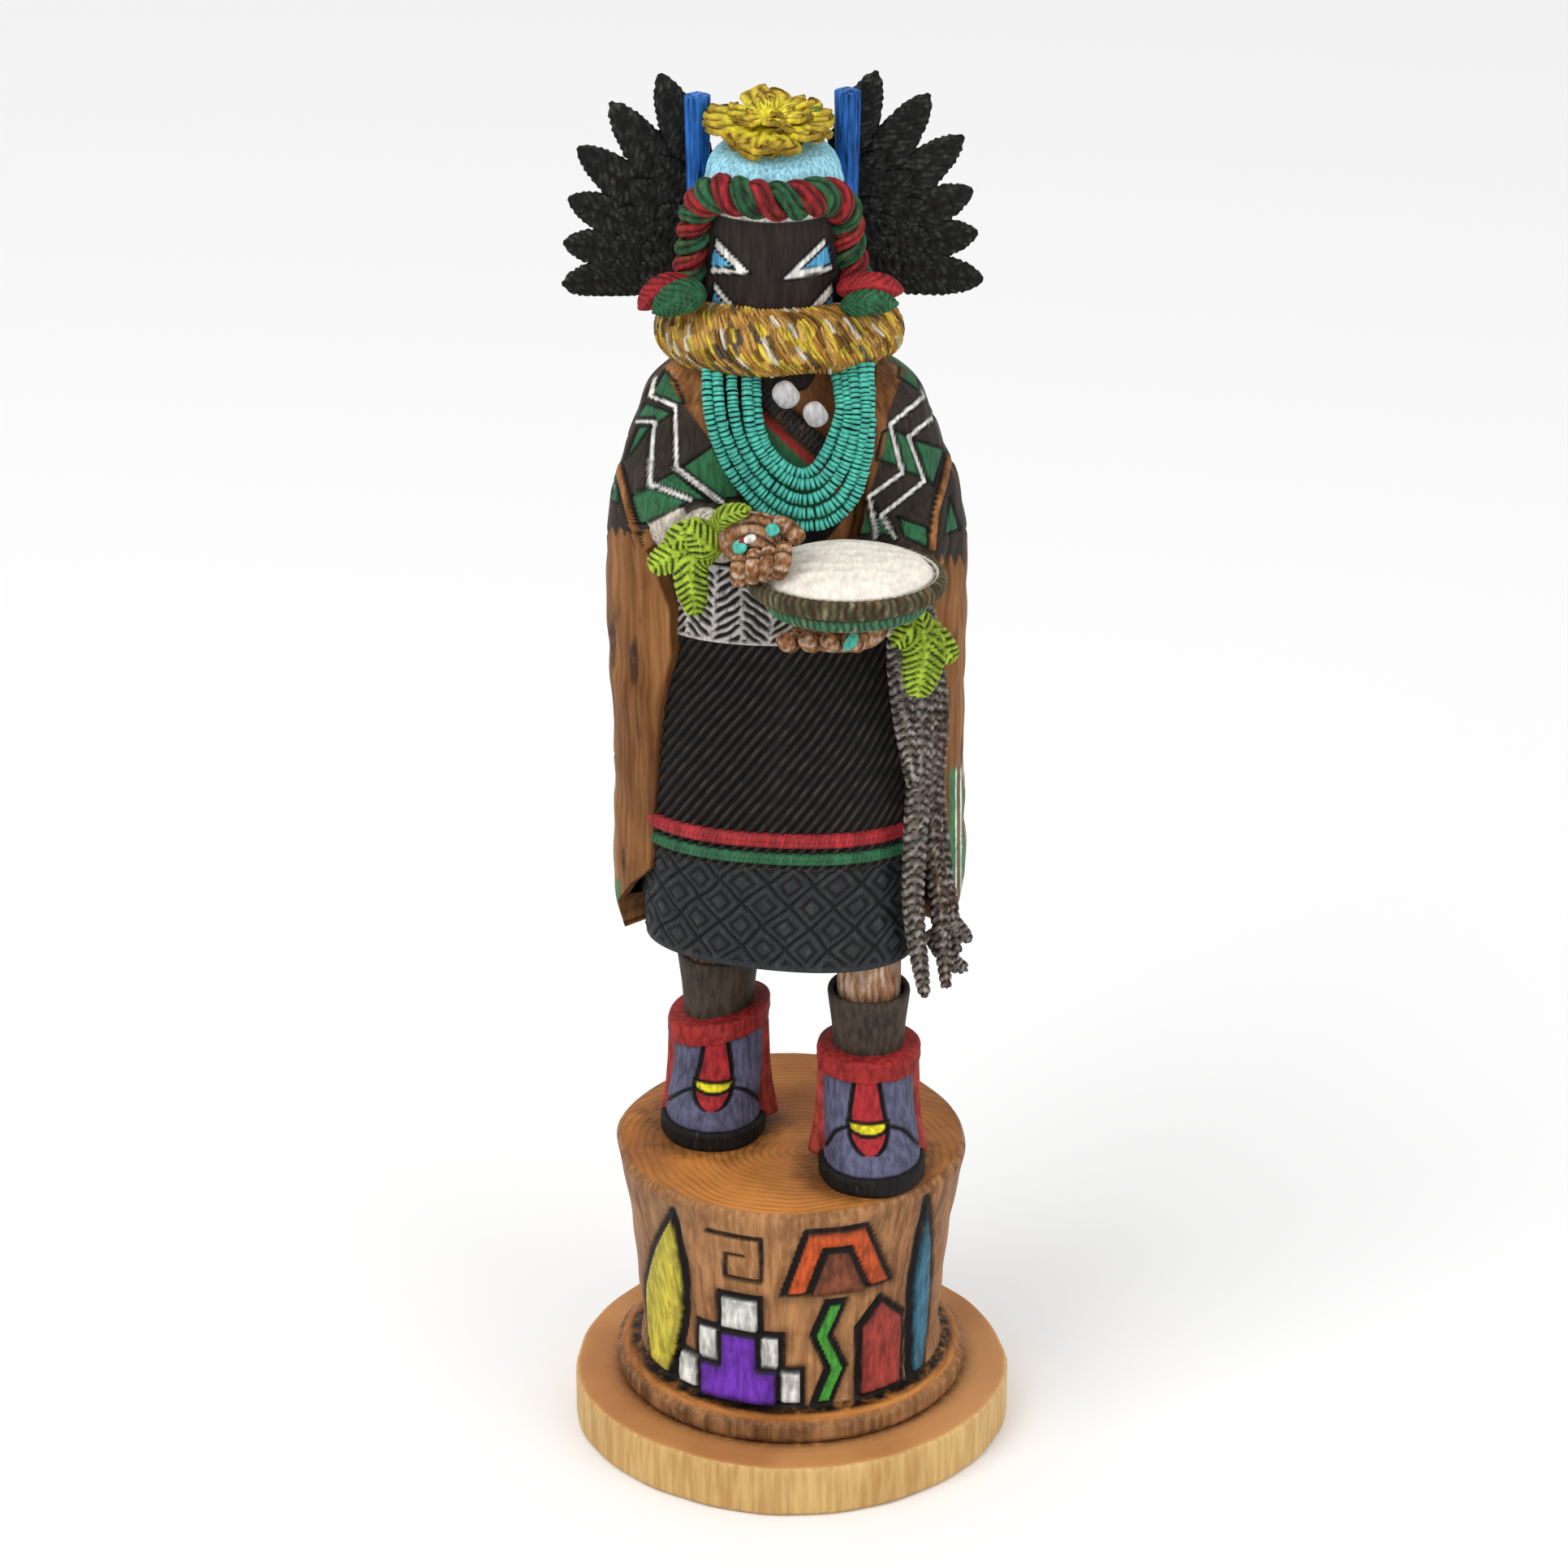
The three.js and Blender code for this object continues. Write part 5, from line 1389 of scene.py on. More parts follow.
@dataclass(frozen=True)
class Head:
    """The mask and the pale blue cap on it."""

    middle: tuple[float, float] = (-3.6, -2.0)
    finish: Finish = Finish("mask paint", streak=(1500.0, 1500.0, 120.0), streak_strength=0.42, fleck=0.22,
                            fleck_colour=srgb(96, 66, 44), roughness=(0.44, 0.68))
    eyes: tuple = ((((881.7, 293), (925.5, 338), (874, 337)), ((878.5, 304.8), (905.4, 331.5), (872, 327.5))),
                   (((1016.5, 293), (962, 346.5), (1027, 333.5)),
                    ((1022, 298.7), (986.6, 332.7), (1027, 325.4))),
                   (((880, 348), (905, 378), (874, 378)), ((879, 358), (895, 378), (874, 378))),
                   (((1026, 348), (998, 379), (1029, 379)), ((1027, 362), (1012, 379), (1029, 379))))

    def make(self) -> bpy.types.Object:
        """Builds the mask and cap."""
        rows = [(176, 13, 13.6), (190, 14.4, 14.8), (205, 14.8, 15), (215, 14.5, 14.8), (217.5, 13.8, 14.2),
                (220, 13.2, 13.5), (222.4, 11.6, 11.8), (223.6, 9.8, 10), (224, 8.6, 8.8)]
        share = np.linspace(0.0, 1.0, 100)
        height = 176.0 + 48.0 * (1.0 - (1.0 - share) ** 1.35)
        half_x, half_y = keyed(rows, height)
        turn = front_turns(170)
        x = self.middle[0] + half_x[:, None] * np.cos(turn)
        y = self.middle[1] + half_y[:, None] * np.sin(turn)
        skin = Skin(np.stack([x, y, np.broadcast_to(height[:, None] + SOLE, x.shape)], axis=2))
        skin.push(0.12 * wander(turn * 14.8, height[:, None], 7.0, 61))
        across, down = VIEW.pixels(skin.points)
        front = y < 0.0
        skin.cover(Paint.MASK)
        for outer, inner in self.eyes:
            rim = inside(outer, across, down)
            skin.line(near(rim + 1.0, 0.6, 2.2) * front, 0.2)
            skin.cover(Paint.WHITE, smooth(rim, 0.0, 1.2) * front)
            field = inside(inner, across, down)
            skin.cover(Paint.SKY, smooth(field, 0.0, 1.2) * front)
            skin.line(near(field, 0.5, 1.7) * front, 0.15)
        level = height[:, None] + 0.0 * x
        skin.cover(Paint.CAP, smooth(level, 216.0, 216.8))
        skin.cover(Paint.WHITE, smooth(level, 212.2, 212.8) * smooth(level, 214.2, 213.6))
        # painted shade in a band round the mask just above the ruff
        skin.add_shade_and_stain(near(level - 192.5, 0.5, 2.5) * 0.6)
        return Carving("mask").add(skin).make(self.finish.material())


@dataclass(frozen=True)
class Ruff:
    """The fur ruff: a fat ring cut all over with slanting strokes."""

    middle: tuple[float, float, float] = (-2.4, -3.0, 185.2)
    half: tuple[float, float] = (18.4, 14.0)
    radius: float = 6.6
    tilt: float = -2.3
    finish: Finish = Finish("fur paint", on_surface=True, streak=(1900.0, 260.0, 1.0), streak_strength=0.6,
                            fleck=0.5,
                            fleck_colour=srgb(232, 218, 160), bump=0.25, shade_and_stain_colour=srgb(46, 26, 12))

    def make(self) -> bpy.types.Object:
        """Builds the ring with its strokes."""
        columns, rows = 480, 76
        turn = front_turns(columns, 0.35)
        middle = np.stack([self.middle[0] + self.half[0] * np.cos(turn),
                           self.middle[1] + self.half[1] * np.sin(turn),
                           SOLE + self.middle[2] + self.tilt * np.sin(turn)], axis=1)
        along = unit(np.roll(middle, -1, axis=0) - np.roll(middle, 1, axis=0))
        out = unit(np.cross(along, (0.0, 0.0, 1.0)))
        roll = np.linspace(0.0, TAU, rows)
        ring = np.cos(roll)[:, None, None] * -out + np.sin(roll)[:, None, None] * np.array([0.0, 0.0, 1.0])
        points = middle[None] + ring * self.radius * (1.0 + 0.05 * wander(turn * 17, roll[:, None] * 7, 9.0,
                                                                          71))[..., None]
        skin = Skin(points)
        way = np.broadcast_to((turn * 17.0)[None], (rows, columns))
        reach = np.broadcast_to((roll * self.radius)[:, None], (rows, columns))
        bend = 0.35 * wander(way, reach, 12.0, 72)
        lane = (way * 0.91 - reach * 0.42 + bend) / 0.8
        stroke = np.floor(lane)
        chance = fract(np.sin(stroke * 12.9898) * 43758.5453)
        piece = np.floor((reach * 0.91 + way * 0.42 + chance * 9.0) / (2.6 + 3.0 * chance))
        pick = fract(np.sin(stroke * 78.233 + piece * 37.719) * 15731.743)
        groove = ridge(lane, 0.36) * (0.3 + 0.7 * fract(pick * 7.31))
        skin.push(0.3 * (1.0 - groove) + 0.3 * (pick - 0.5) - 0.3 * groove)
        skin.cover(Paint.FUR)
        tints = ((0.34, srgb(176, 122, 52)), (0.52, srgb(226, 196, 66)), (0.70, srgb(96, 58, 28)),
                 (0.84, srgb(240, 230, 206)),
                 (0.92, srgb(44, 28, 18)))
        for low, colour in tints:
            skin.cover(colour, (pick > low) * 0.9)
        skin.groove = np.clip(groove * 0.95, 0.0, 1.0)
        skin.lay[..., 0] -= 0.46 * skin.lay[..., 1]
        return Carving("ruff").add(skin).make(self.finish.material())


def strand_pair(path: np.ndarray, pitch: float, spread: float, thick: float,
                colours: tuple[Paint, Paint]) -> list[Skin]:
    """Two strands twisted round each other along a path, each with slanting fibre marks.

    Args:
        path: The cord's middle.
        pitch: Length of one whole turn.
        spread: How far each strand's middle stands off the cord's.
        thick: The strands' radius.
        colours: The strands' colours.

    Returns:
        The two strands.
    """
    sides = 30
    along = unit(np.gradient(path, axis=0))
    face = unit(np.stack([path[:, 0] + 3.6, np.minimum(path[:, 1], -4.0), 0 * path[:, 0]], axis=1))
    out = unit(face - along * np.sum(face * along, axis=1, keepdims=True))
    side = np.cross(along, out)
    length = travelled(path)
    made = []
    for phase, colour in zip((0.0, math.pi), colours):
        angle = phase + length / pitch * TAU
        middle = path + (np.cos(angle)[:, None] * out + np.sin(angle)[:, None] * side) * spread
        strand = tube(middle, thick, sides, close=0.7)
        roll = round_turns(sides)
        bend = 0.25 * wander(length[:, None], roll[None] * 2, 5.0, 81)
        marks = ridge(length[:, None] * 0.3 - roll[None] / TAU * 6.0 + bend, 0.34)
        strand.cover(colour)
        strand.paint[..., :3] *= (1.0 + 0.25 * wander(length[:, None], roll[None] * 2.0, 4.0, 82))[..., None]
        mottle = smooth(wander(length[:, None] * 1.5, roll[None] * 3.0, 3.0, 83), 0.2, 1.0)
        strand.cover(srgb(112, 84, 50), mottle * 0.4)
        strand.paint[..., :3] *= 0.86
        strand.push(0.14 * (1.0 - marks) - 0.3 * marks)
        strand.groove = marks * 0.95
        made.append(strand)
    return made


def blade(path: np.ndarray, width: float, thick: float, colour: Paint, vein: float, pitch: float,
          depth: float = 0.3,
          front: Sequence[float] = (0.0, -1.0, 0.3), rows: int = 66, sides: int = 34,
          blunt: float = 0.55) -> Skin:
    """A leaf, feather or tassel: pointed ends, a rib down the middle and slanting cuts on both sides.

    Args:
        path: Its middle line, from root to tip.
        width: Its widest half width.
        thick: Its half thickness.
        colour: Its colour.
        vein: How far the cuts slant towards the tip.
        pitch: Distance between cuts.
        depth: How deep they are.
        front: The way its face looks.
        rows: Rings along it.
        sides: Points round it.
        blunt: Under 1 makes the ends rounder.

    Returns:
        The surface.
    """
    line = curve(path, rows)
    along = unit(np.gradient(line, axis=0))
    out = unit(np.asarray(front, dtype=float) - along * (along @ np.asarray(front, dtype=float))[:, None])
    side = np.cross(along, out)
    share = np.linspace(0.0, 1.0, rows)
    reach = np.maximum(np.sin(math.pi * (0.06 + 0.92 * share ** 0.9)) ** blunt * width, 0.15)
    turn = round_turns(sides)
    across, lift = np.sin(turn), np.cos(turn)
    body = thick * np.minimum(reach / width * 1.2, 1.0)
    points = line[:, None] + side[:, None] * (across[None] * reach[:, None])[..., None]
    points = points + out[:, None] * (np.sign(lift) * np.abs(lift) ** 0.8 * body[:, None])[..., None]
    skin = Skin(points)
    length = np.linalg.norm(np.diff(line, axis=0), axis=1).sum() * share
    off = across[None] * reach[:, None]
    cuts = ridge((length[:, None] - np.abs(off) * vein + 0.25
                  * wander(length[:, None], off, 5.0, rows)) / pitch, 0.3)
    cuts = cuts * smooth(np.abs(across), 0.06, 0.25)[None]
    rib = near(off, 0.15, 0.7)
    skin.cover(colour)
    skin.push((0.25 * rib - depth * cuts) * smooth(share, 0.0, 0.05)[:, None])
    skin.groove = np.clip(cuts * 0.95, 0.0, 1.0)
    return skin


TIE_PATH = ((-22.4, -7, 192.5), (-20.4, -6.6, 199), (-19.6, -7.4, 206), (-18.6, -9.4, 212.6),
            (-15, -13.6, 217.2),
            (-9.6, -17.2, 217.6), (-3.6, -18.4, 217.2), (2.2, -17.4, 217.2), (6.8, -14.2, 216.8),
            (10.4, -10.2, 212.6),
            (11.2, -8, 205.6), (12.4, -7.2, 198.6), (15, -7.4, 192.5))


@dataclass(frozen=True)
class HairTie:
    """The red and green cord over the brow and down both sides, with its tassel ends."""

    pitch: float = 8.0
    finish: Finish = Finish("tie paint", streak_strength=0.4, fleck=0.14, bump=0.2, shade_and_stain_colour=srgb(24, 14, 14))

    def make(self) -> bpy.types.Object:
        """Builds the cord and tassels."""
        path = curve(TIE_PATH, 360) + np.array([0.0, 0.0, SOLE])
        middle = np.linspace(-1.0, 1.0, 360)
        slim = 1.0 - 0.18 * smooth(np.abs(middle), 0.35, 0.55)
        carving = Carving("hair_tie").add(*strand_pair(path, self.pitch, 1.75, 2.25 * slim,
                                                       (Paint.RED, Paint.GREEN)))
        ends = (([(848, 347, -12), (815, 356, -15), (789, 379, -12)], 2.9, Paint.RED),
                ([(866, 362, -15), (838, 366, -19), (806, 384, -17)], 3.5, Paint.GREEN),
                ([(1034, 356, -11), (1078, 352, -15), (1111, 358, -12)], 2.9, Paint.RED),
                ([(1040, 378, -14), (1072, 372, -18), (1104, 374, -15)], 2.7, Paint.GREEN))
        for marks, width, colour in ends:
            carving.add(blade(VIEW.at_depth(marks), width, 2.3, colour, 0.9, 1.25, 0.25))
        return carving.make(self.finish.material())


@dataclass(frozen=True)
class Necklace:
    """Five nested strands of turquoise discs."""

    bead: float = 0.96
    thick: float = 1.14
    finish: Finish = Finish("turquoise paint", streak_strength=0.3, fleck=0.14, fleck_colour=srgb(30, 40, 38),
                            roughness=(0.4, 0.62), bump=0.12)
    strands: tuple = (
        ((870, 456, -20), (874, 509, -21), (892, 566, -22), (919, 605.6, -23), (952, 635.5, -24),
         (985, 648, -24.6),
         (1018.5, 643.8, -24.6), (1046.7, 622, -24), (1063, 585.7, -23), (1071.6, 532.7, -22),
         (1071, 456, -20)),
        ((883, 456, -20.4), (887.5, 509, -21.4), (904, 559, -22.6), (932, 599, -23.6), (965.4, 625.5, -24.6),
         (995, 632, -25), (1025, 622, -24.6), (1046.7, 595.7, -23.6), (1059, 556, -22.6),
         (1066.6, 509, -21.4), (1062, 456, -20.4)),
        ((900.8, 456, -20.4), (904, 506, -21.4), (915.7, 549, -22.6), (939, 585.7, -23.6),
         (968.7, 609, -24.4),
         (995, 615.6, -24.8), (1018.5, 605.6, -24.4), (1038, 579, -23.6), (1050, 546, -22.6),
         (1055, 506, -21.4), (1049, 456, -20.4)),
        ((919, 456, -20), (921.6, 506, -21), (929, 542.6, -22.2), (948.8, 572.5, -23), (972, 592, -23.8),
         (992, 597, -24),
         (1012, 590.7, -23.8), (1028.5, 569, -23), (1040, 539, -22.2), (1046.7, 506, -21), (1040, 460, -20)),
        ((930, 462, -19.4), (933, 512.8, -20.4), (942, 545, -21.4), (960, 570, -22.2), (980, 582, -22.8),
         (994, 583, -22.8),
         (1006, 575, -22.6), (1017, 559, -21.8), (1028, 533, -21), (1036, 500, -20), (1029, 462, -19.4)))

    def make(self, layout: SetOut) -> bpy.types.Object:
        """Builds one disc and sets it along each strand."""
        material = self.finish.material()
        half = self.bead * 0.5
        shape = ((0.86, -1.0), (1.0, -0.66), (1.03, 0.0), (1.0, 0.66), (0.86, 1.0))
        turn = round_turns(10)
        rings = [(self.thick * reach, half * level) for reach, level in shape]
        disc = Skin(np.array([[(r * math.cos(a), r * math.sin(a), z) for a in turn] for r, z in rings]))
        disc.cover(Paint.TURQUOISE)
        gap = np.array([1.0, 0.25, 0.0, 0.1, 1.0])[:, None]
        disc.cover(Paint.BLACK, gap)
        disc.add_shade_and_stain(gap)
        places, turns, sizes = [], [], []
        for number, marks in enumerate(self.strands):
            path = VIEW.at_depth(marks)
            path[[0, -1]] += (0.0, 4.5, 0.0)
            fine = curve(path, 400)
            way = travelled(fine)
            rng = np.random.default_rng(90 + number)
            lengths = rng.uniform(0.72, 1.3, int(way[-1] / self.bead)) * self.bead
            middles = (np.cumsum(lengths) - lengths / 2) * way[-1] / lengths.sum()
            count = len(lengths)
            line = np.stack([np.interp(middles, way, fine[:, n]) for n in range(3)], axis=1)
            slope = np.gradient(fine, axis=0)
            along = unit(np.stack([np.interp(middles, way, slope[:, n]) for n in range(3)], axis=1))
            wobble = rng.normal(0.0, 0.035, (count, 3))
            places.append(line + wobble * 1.6)
            polar = np.arccos(np.clip(along[:, 2], -1.0, 1.0))
            turns.append(np.stack([0 * polar, polar + wobble[:, 0], np.arctan2(along[:, 1], along[:, 0])],
                                  axis=1))
            sizes.append(np.stack([1.0 + wobble[:, 0], 1.0 + wobble[:, 1], lengths / self.bead], axis=1))
        return layout.make("necklace", Carving("disc").add(disc).make(material), np.concatenate(places),
                           np.concatenate(turns), np.concatenate(sizes), material)


@dataclass(frozen=True)
class Chest:
    """The two white buttons behind the necklace."""

    finish: Finish = Finish("button paint", streak_strength=0.3, fleck=0.2)

    def make(self) -> bpy.types.Object:
        """Builds the buttons."""
        carving = Carving("buttons")
        for marks, size in ((((957, 473, -19.2), (966, 484, -20.4), (978, 500, -19.4)), 2.5),
                            (((994, 498, -19.4), (1004, 510, -20.4), (1012, 524, -19.4)), 2.3)):
            button = tube(curve(VIEW.at_depth(marks), 24), size, 28, flat=0.55, close=0.95)
            carving.add(button.cover(Paint.BUTTON))
        return carving.make(self.finish.material())


def limb(rows: Sequence[Sequence[float]], sole: tuple[float, float], leg: tuple[float, float], tilt: float,
         columns: int = 80, count: int = 70) -> Skin:
    """An upright part of a leg.

    Args:
        rows: Height, how far from over the sole to over the leg, and both half widths.
        sole: The middle of the foot.
        leg: The middle of the leg.
        tilt: How far it leans up towards +X, in millimetres a millimetre.
        columns: Points round it.
        count: Rings.

    Returns:
        The surface.
    """
    table = np.asarray(rows, dtype=float)
    length = running(np.hypot(np.diff(table[:, 0]), np.diff(table[:, 2])))
    height, share, half_x, half_y = (np.interp(np.linspace(0, length[-1], count), length,
                                               table[:, n])[:, None] for n in range(4))
    turn = front_turns(columns)
    x, y = oval(half_x, half_y, 2.15, turn)
    mid_x, mid_y = (sole[n] + (leg[n] - sole[n]) * share for n in range(2))
    return Skin(np.stack([mid_x + x, mid_y + y, height + SOLE + tilt * x], axis=2))


@dataclass(frozen=True)
class Foot:
    """One foot in its wrapped boot with a cuff, a heel flap, a hollow legging and the bare leg above."""

    name: str
    sole: tuple[float, float]
    leg: tuple[float, float]
    tilt: float
    finish: Finish = Finish("boot paint", streak_strength=0.44, fleck=0.2, fleck_colour=srgb(120, 104, 110))

    def boot(self) -> Skin:
        """The boot, with its ankle seam and its red tongue with a yellow crescent."""
        boot = limb([(3.4, 0, 10.4, 12.6), (6.2, 0, 10.1, 12.3), (8, 0.1, 10, 12.1), (10, 0.3, 9.9, 11.8),
                     (12, 0.5, 9.85, 11.2),
                     (14, 0.7, 9.8, 10.4), (17, 0.9, 9.75, 9.9), (24, 1, 9.7, 9.9), (26.8, 1, 8, 8)],
                    self.sole, self.leg, 0.0, 104, 76)
        boot.cover(Paint.BOOT)
        x, y, z = boot.points[..., 0], boot.points[..., 1], boot.points[..., 2] - SOLE
        middle = self.sole[0] + (self.leg[0] - self.sole[0]) * smooth(z, 6.0, 21.0)
        middle_y = self.sole[1] + (self.leg[1] - self.sole[1]) * smooth(z, 6.0, 14.0)
        facing = smooth(middle_y - y, 0.0, 1.5)
        across = x - middle + 0.5
        forward = np.clip((middle_y - y) / 11.0, 0.0, 1.0)
        half = np.interp(z, (9.0, 14.0, 25.0),
                         (4.2, 4.1, 2.5)) * np.sqrt(np.clip(1.0 - ((13.6 - z) / 4.8) ** 2 * (z < 13.6), 0.0,
                                                            1.0))
        tongue = np.where(z < 8.8, 3.0, np.abs(across) - half)
        ankle = np.abs(z - 6.6 - 7.6 * forward**1.6)
        boot.line((1.0 - smooth(ankle, 0.25, 0.75)) * smooth(tongue, -0.2, 0.2), 0.35)
        boot.push(0.35 * (1.0 - smooth(tongue, -0.5, 0.0)) * facing)
        boot.cover(Paint.RED, (1.0 - smooth(tongue, -0.2, 0.3)) * facing)
        boot.line(near(tongue, 0.25, 0.7) * facing, 0.35)
        bow = (across / 4.2) ** 2
        crescent = np.maximum(np.abs(z - 13.6 - 0.7 * bow) - 1.05 * (1.0 - 0.45 * bow), np.abs(across) - 4.2)
        boot.cover(Paint.YELLOW, (1.0 - smooth(crescent, -0.15, 0.2)) * facing)
        boot.line(near(crescent - 0.15, 0.15, 0.5) * facing, 0.25)
        boot.push(0.1 * wander(x * 2, z, 7.0, 15))
        # painted shade in the crease where the boot meets the sole
        return boot.add_shade_and_stain(smooth(z, 5.0, 4.2))

    def flap(self) -> Skin:
        """The flap round the heel, drawn in at the front."""
        behind = (self.leg[0], self.leg[1] - 1.0)
        flap = limb([(2.6, 0, 11.4, 10.2), (2.8, 0, 12.9, 12), (10, 0, 11.6, 11.2), (16, 0, 11.1, 10.9),
                     (25, 0, 10.8, 10.8)],
                    behind, behind, 0.0, 90, 26)
        ahead = flap.points[..., 1] - behind[1] < 0.0
        flap.points[..., 1] -= np.where(ahead, (flap.points[..., 1] - behind[1]) * 0.72, 0.0)
        return flap.cover(Paint.BRICK)

    def make(self) -> bpy.types.Object:
        """Builds the leg from the sole up."""
        tread = limb([(0, 0, 10.9, 13.1), (0.7, 0, 11.4, 13.6), (3.6, 0, 11.4, 13.6), (4.4, 0, 10.9, 13.1),
                      (4.5, 0, 7, 9)],
                     self.sole, self.leg, 0.0, count=22).cover(Paint.SOLE)
        cuff = limb([(24, 1, 10, 10), (24, 1, 10.8, 10.8), (25.4, 1, 11, 11), (28.2, 1, 11, 11),
                     (28.8, 1, 10.4, 10.4), (28.9, 1, 7, 7)],
                    self.sole, self.leg, self.tilt, 90, 26)
        cuff.cover(Paint.CUFF)
        cuff.push(0.14 * wander(np.arange(90)[None] * 0.75, np.arange(26)[:, None] * 0.65, 6.0, 21))
        legging = limb([(23, 1, 7.4, 7.4), (28.4, 1, 7.5, 7.5), (34, 1, 7.9, 7.9), (41.2, 1, 8.8, 8.8),
                        (41.9, 1, 8.4, 8.4),
                        (41.4, 1, 7.4, 7.4), (39, 1, 6.8, 6.8), (38.6, 1, 6.2, 6.2)], self.sole, self.leg,
                       0.0, 80, 44)
        legging.cover(Paint.LEGGING)
        # painted shade inside the legging's hollow top
        legging.groove[-7:] = 0.9
        skin = limb([(37, 1, 6.7, 6.7), (50, 1, 6.8, 6.8), (62, 1, 6.7, 6.7)], self.sole, self.leg, 0.0, 60,
                    20)
        skin.cover(Paint.SKIN)
        chalk = smooth(wander(skin.points[..., 0] * 3.0, skin.points[..., 2] * 0.4, 3.4, 25), -0.5, 0.8)
        skin.cover(srgb(208, 184, 164), chalk * 0.75)
        carving = Carving(self.name).add(tread, self.boot(), self.flap(), cuff, legging, skin)
        return carving.make(self.finish.material())


def beyond(path: Sequence[Sequence[float]]) -> np.ndarray:
    """Points written from the soles, as points from the ground."""
    return np.asarray(path, dtype=float) + np.array([0.0, 0.0, SOLE])


@dataclass(frozen=True)
class Arms:
    """Both forearms, the fist on the tray's rim, the palm under it and the rings."""

    right_hand: float = 150.4
    left_hand: float = 132.4
    finish: Finish = Finish("arm paint", streak=(1300.0, 700.0, 900.0), streak_strength=0.5, fleck=0.62,
                            fleck_colour=srgb(206, 184, 166))

    def make(self) -> list[bpy.types.Object]:
        """Builds both arms."""
        high, low = self.right_hand, self.left_hand
        arms, rings = Carving("arms"), Carving("rings")
        bones = ((((-24, -12, 146), (-18.6, -22.6, high - 1), (-13.5, -32.5, high)), 5.5, 4.3),
                 (((25, -10, 138), (22.6, -20.6, low + 2.4), (19.6, -30, low)), 5.5, 4.2))
        for keys, thick, thin in bones:
            arms.add(tube(curve(beyond(keys), 30), np.linspace(thick, thin, 30), 36).cover(Paint.FOREARM))
        light = srgb(196, 168, 146)
        hands = ((((-13.5, -32.5, high + 0.2), (-7, -38.5, high + 3.2), (-2.6, -42, high + 2.6)), 4.3, 1.2,
                  0.8, 0.85),
                 (((19.6, -30, low), (12, -33, low + 0.6), (2, -36, low + 1)), 4.2, 1.6, 1.0, 0.8))
        for keys, size, swell, rate, flat in hands:
            share = np.linspace(0.0, 1.0, 44)
            hand = tube(curve(beyond(keys), 44), size + swell * np.sin(math.pi * rate * share), 48, flat=flat,
                        close=0.8)
            length = share[:, None] * 13.0
            roll = round_turns(48)[None]
            knuckle = ridge(roll * 4.6 / 2.4 + 0.5, 0.22) * smooth(length, 6.0, 9.0)
            hand.cover(Paint.SKIN)
            # whitish dry-brush on the hand, partly painted highlight
            hand.cover(light, smooth(wander(length * 1.4, roll * 4.6, 3.4, 19), -0.4, 1.0) * 0.8)
            hand.line(knuckle * 0.9, 0.5, Paint.CREST_BROWN)
            arms.add(hand)
        for i in range(4):
            grip = ((-1.4 - 2.9 * i, -43.6 + 0.5 * i, high + 4.6 - 0.9 * i),
                    (-1.8 - 2.9 * i, -46.6 + 0.6 * i, high + 1.6 - i),
                    (-3 - 2.5 * i, -45.6 + 0.6 * i, high - 2.4 - 0.7 * i))
            arms.add(self.finger(beyond(grip), 1.75))
            spread = ((15 - 4.4 * i, -33, low - 0.4), (13 - 4.4 * i, -40, low - 1),
                      (11 - 4.4 * i, -43, low + 2))
            arms.add(self.finger(beyond(spread), 1.75))
        thumb = ((-6.5, -38, high + 6.2), (-1.5, -40.4, high + 6.6), (2.2, -42.6, high + 4.0))
        arms.add(self.finger(beyond(thumb), 1.9))
        bands = (((948, 646), (956, 660), Paint.TURQUOISE, 1.3), ((914, 664), (918, 671), Paint.RED, 1.5),
                 ((909, 668), (914, 680), Paint.TURQUOISE, 1.4), ((922, 659), (926, 669), Paint.WHITE, 1.3),
                 ((1043, 787), (1054, 795), Paint.TURQUOISE, 2.1))
        shown = np.concatenate([skin.points.reshape(-1, 3) for skin in arms.skins])
        for start, end, colour, radius in bands:
            path = curve(self.laid(shown, (start, end)), 14)
            band = tube(path, radius, 30, close=0.6, flat=0.8).cover(colour)
            rings.add(band)
        return [arms.make(self.finish.material()), rings.make(Finish("ring paint", fleck=0.1).material())]

    @staticmethod
    def laid(shown: np.ndarray, marks: Sequence[Sequence[float]]) -> np.ndarray:
        """Photo points laid on the nearest of the shown points."""
        across, down = VIEW.pixels(shown)
        placed = []
        for mark in marks:
            near = np.hypot(across - mark[0], down - mark[1]) < 8.0
            placed.append((*mark, shown[near][:, 1].min() + 0.2))
        return VIEW.at_depth(placed)

    @staticmethod
    def finger(keys: np.ndarray, size: float) -> Skin:
        """A finger with its joints marked."""
        finger = tube(curve(keys, 30), size, 22, close=1.0)
        joint = np.broadcast_to(ridge(np.arange(30)[:, None] / 9.75, 0.1), (30, 22))
        # painted highlight in pale buff and painted shade in dark brown, in patches along the finger
        highlight_and_shade_noise = wander(np.arange(30)[:, None] * 0.67, round_turns(22)[None] * size + keys[0, 0], 3.0, 27)
        finger.cover(Paint.SKIN).cover(srgb(206, 182, 160), smooth(highlight_and_shade_noise, -0.1, 1.0) * 0.75)
        finger.cover(Paint.CREST_BROWN, smooth(-highlight_and_shade_noise, 0.2, 1.0) * 0.6)
        return finger.line(joint * 0.8, 0.25, Paint.CREST_BROWN)


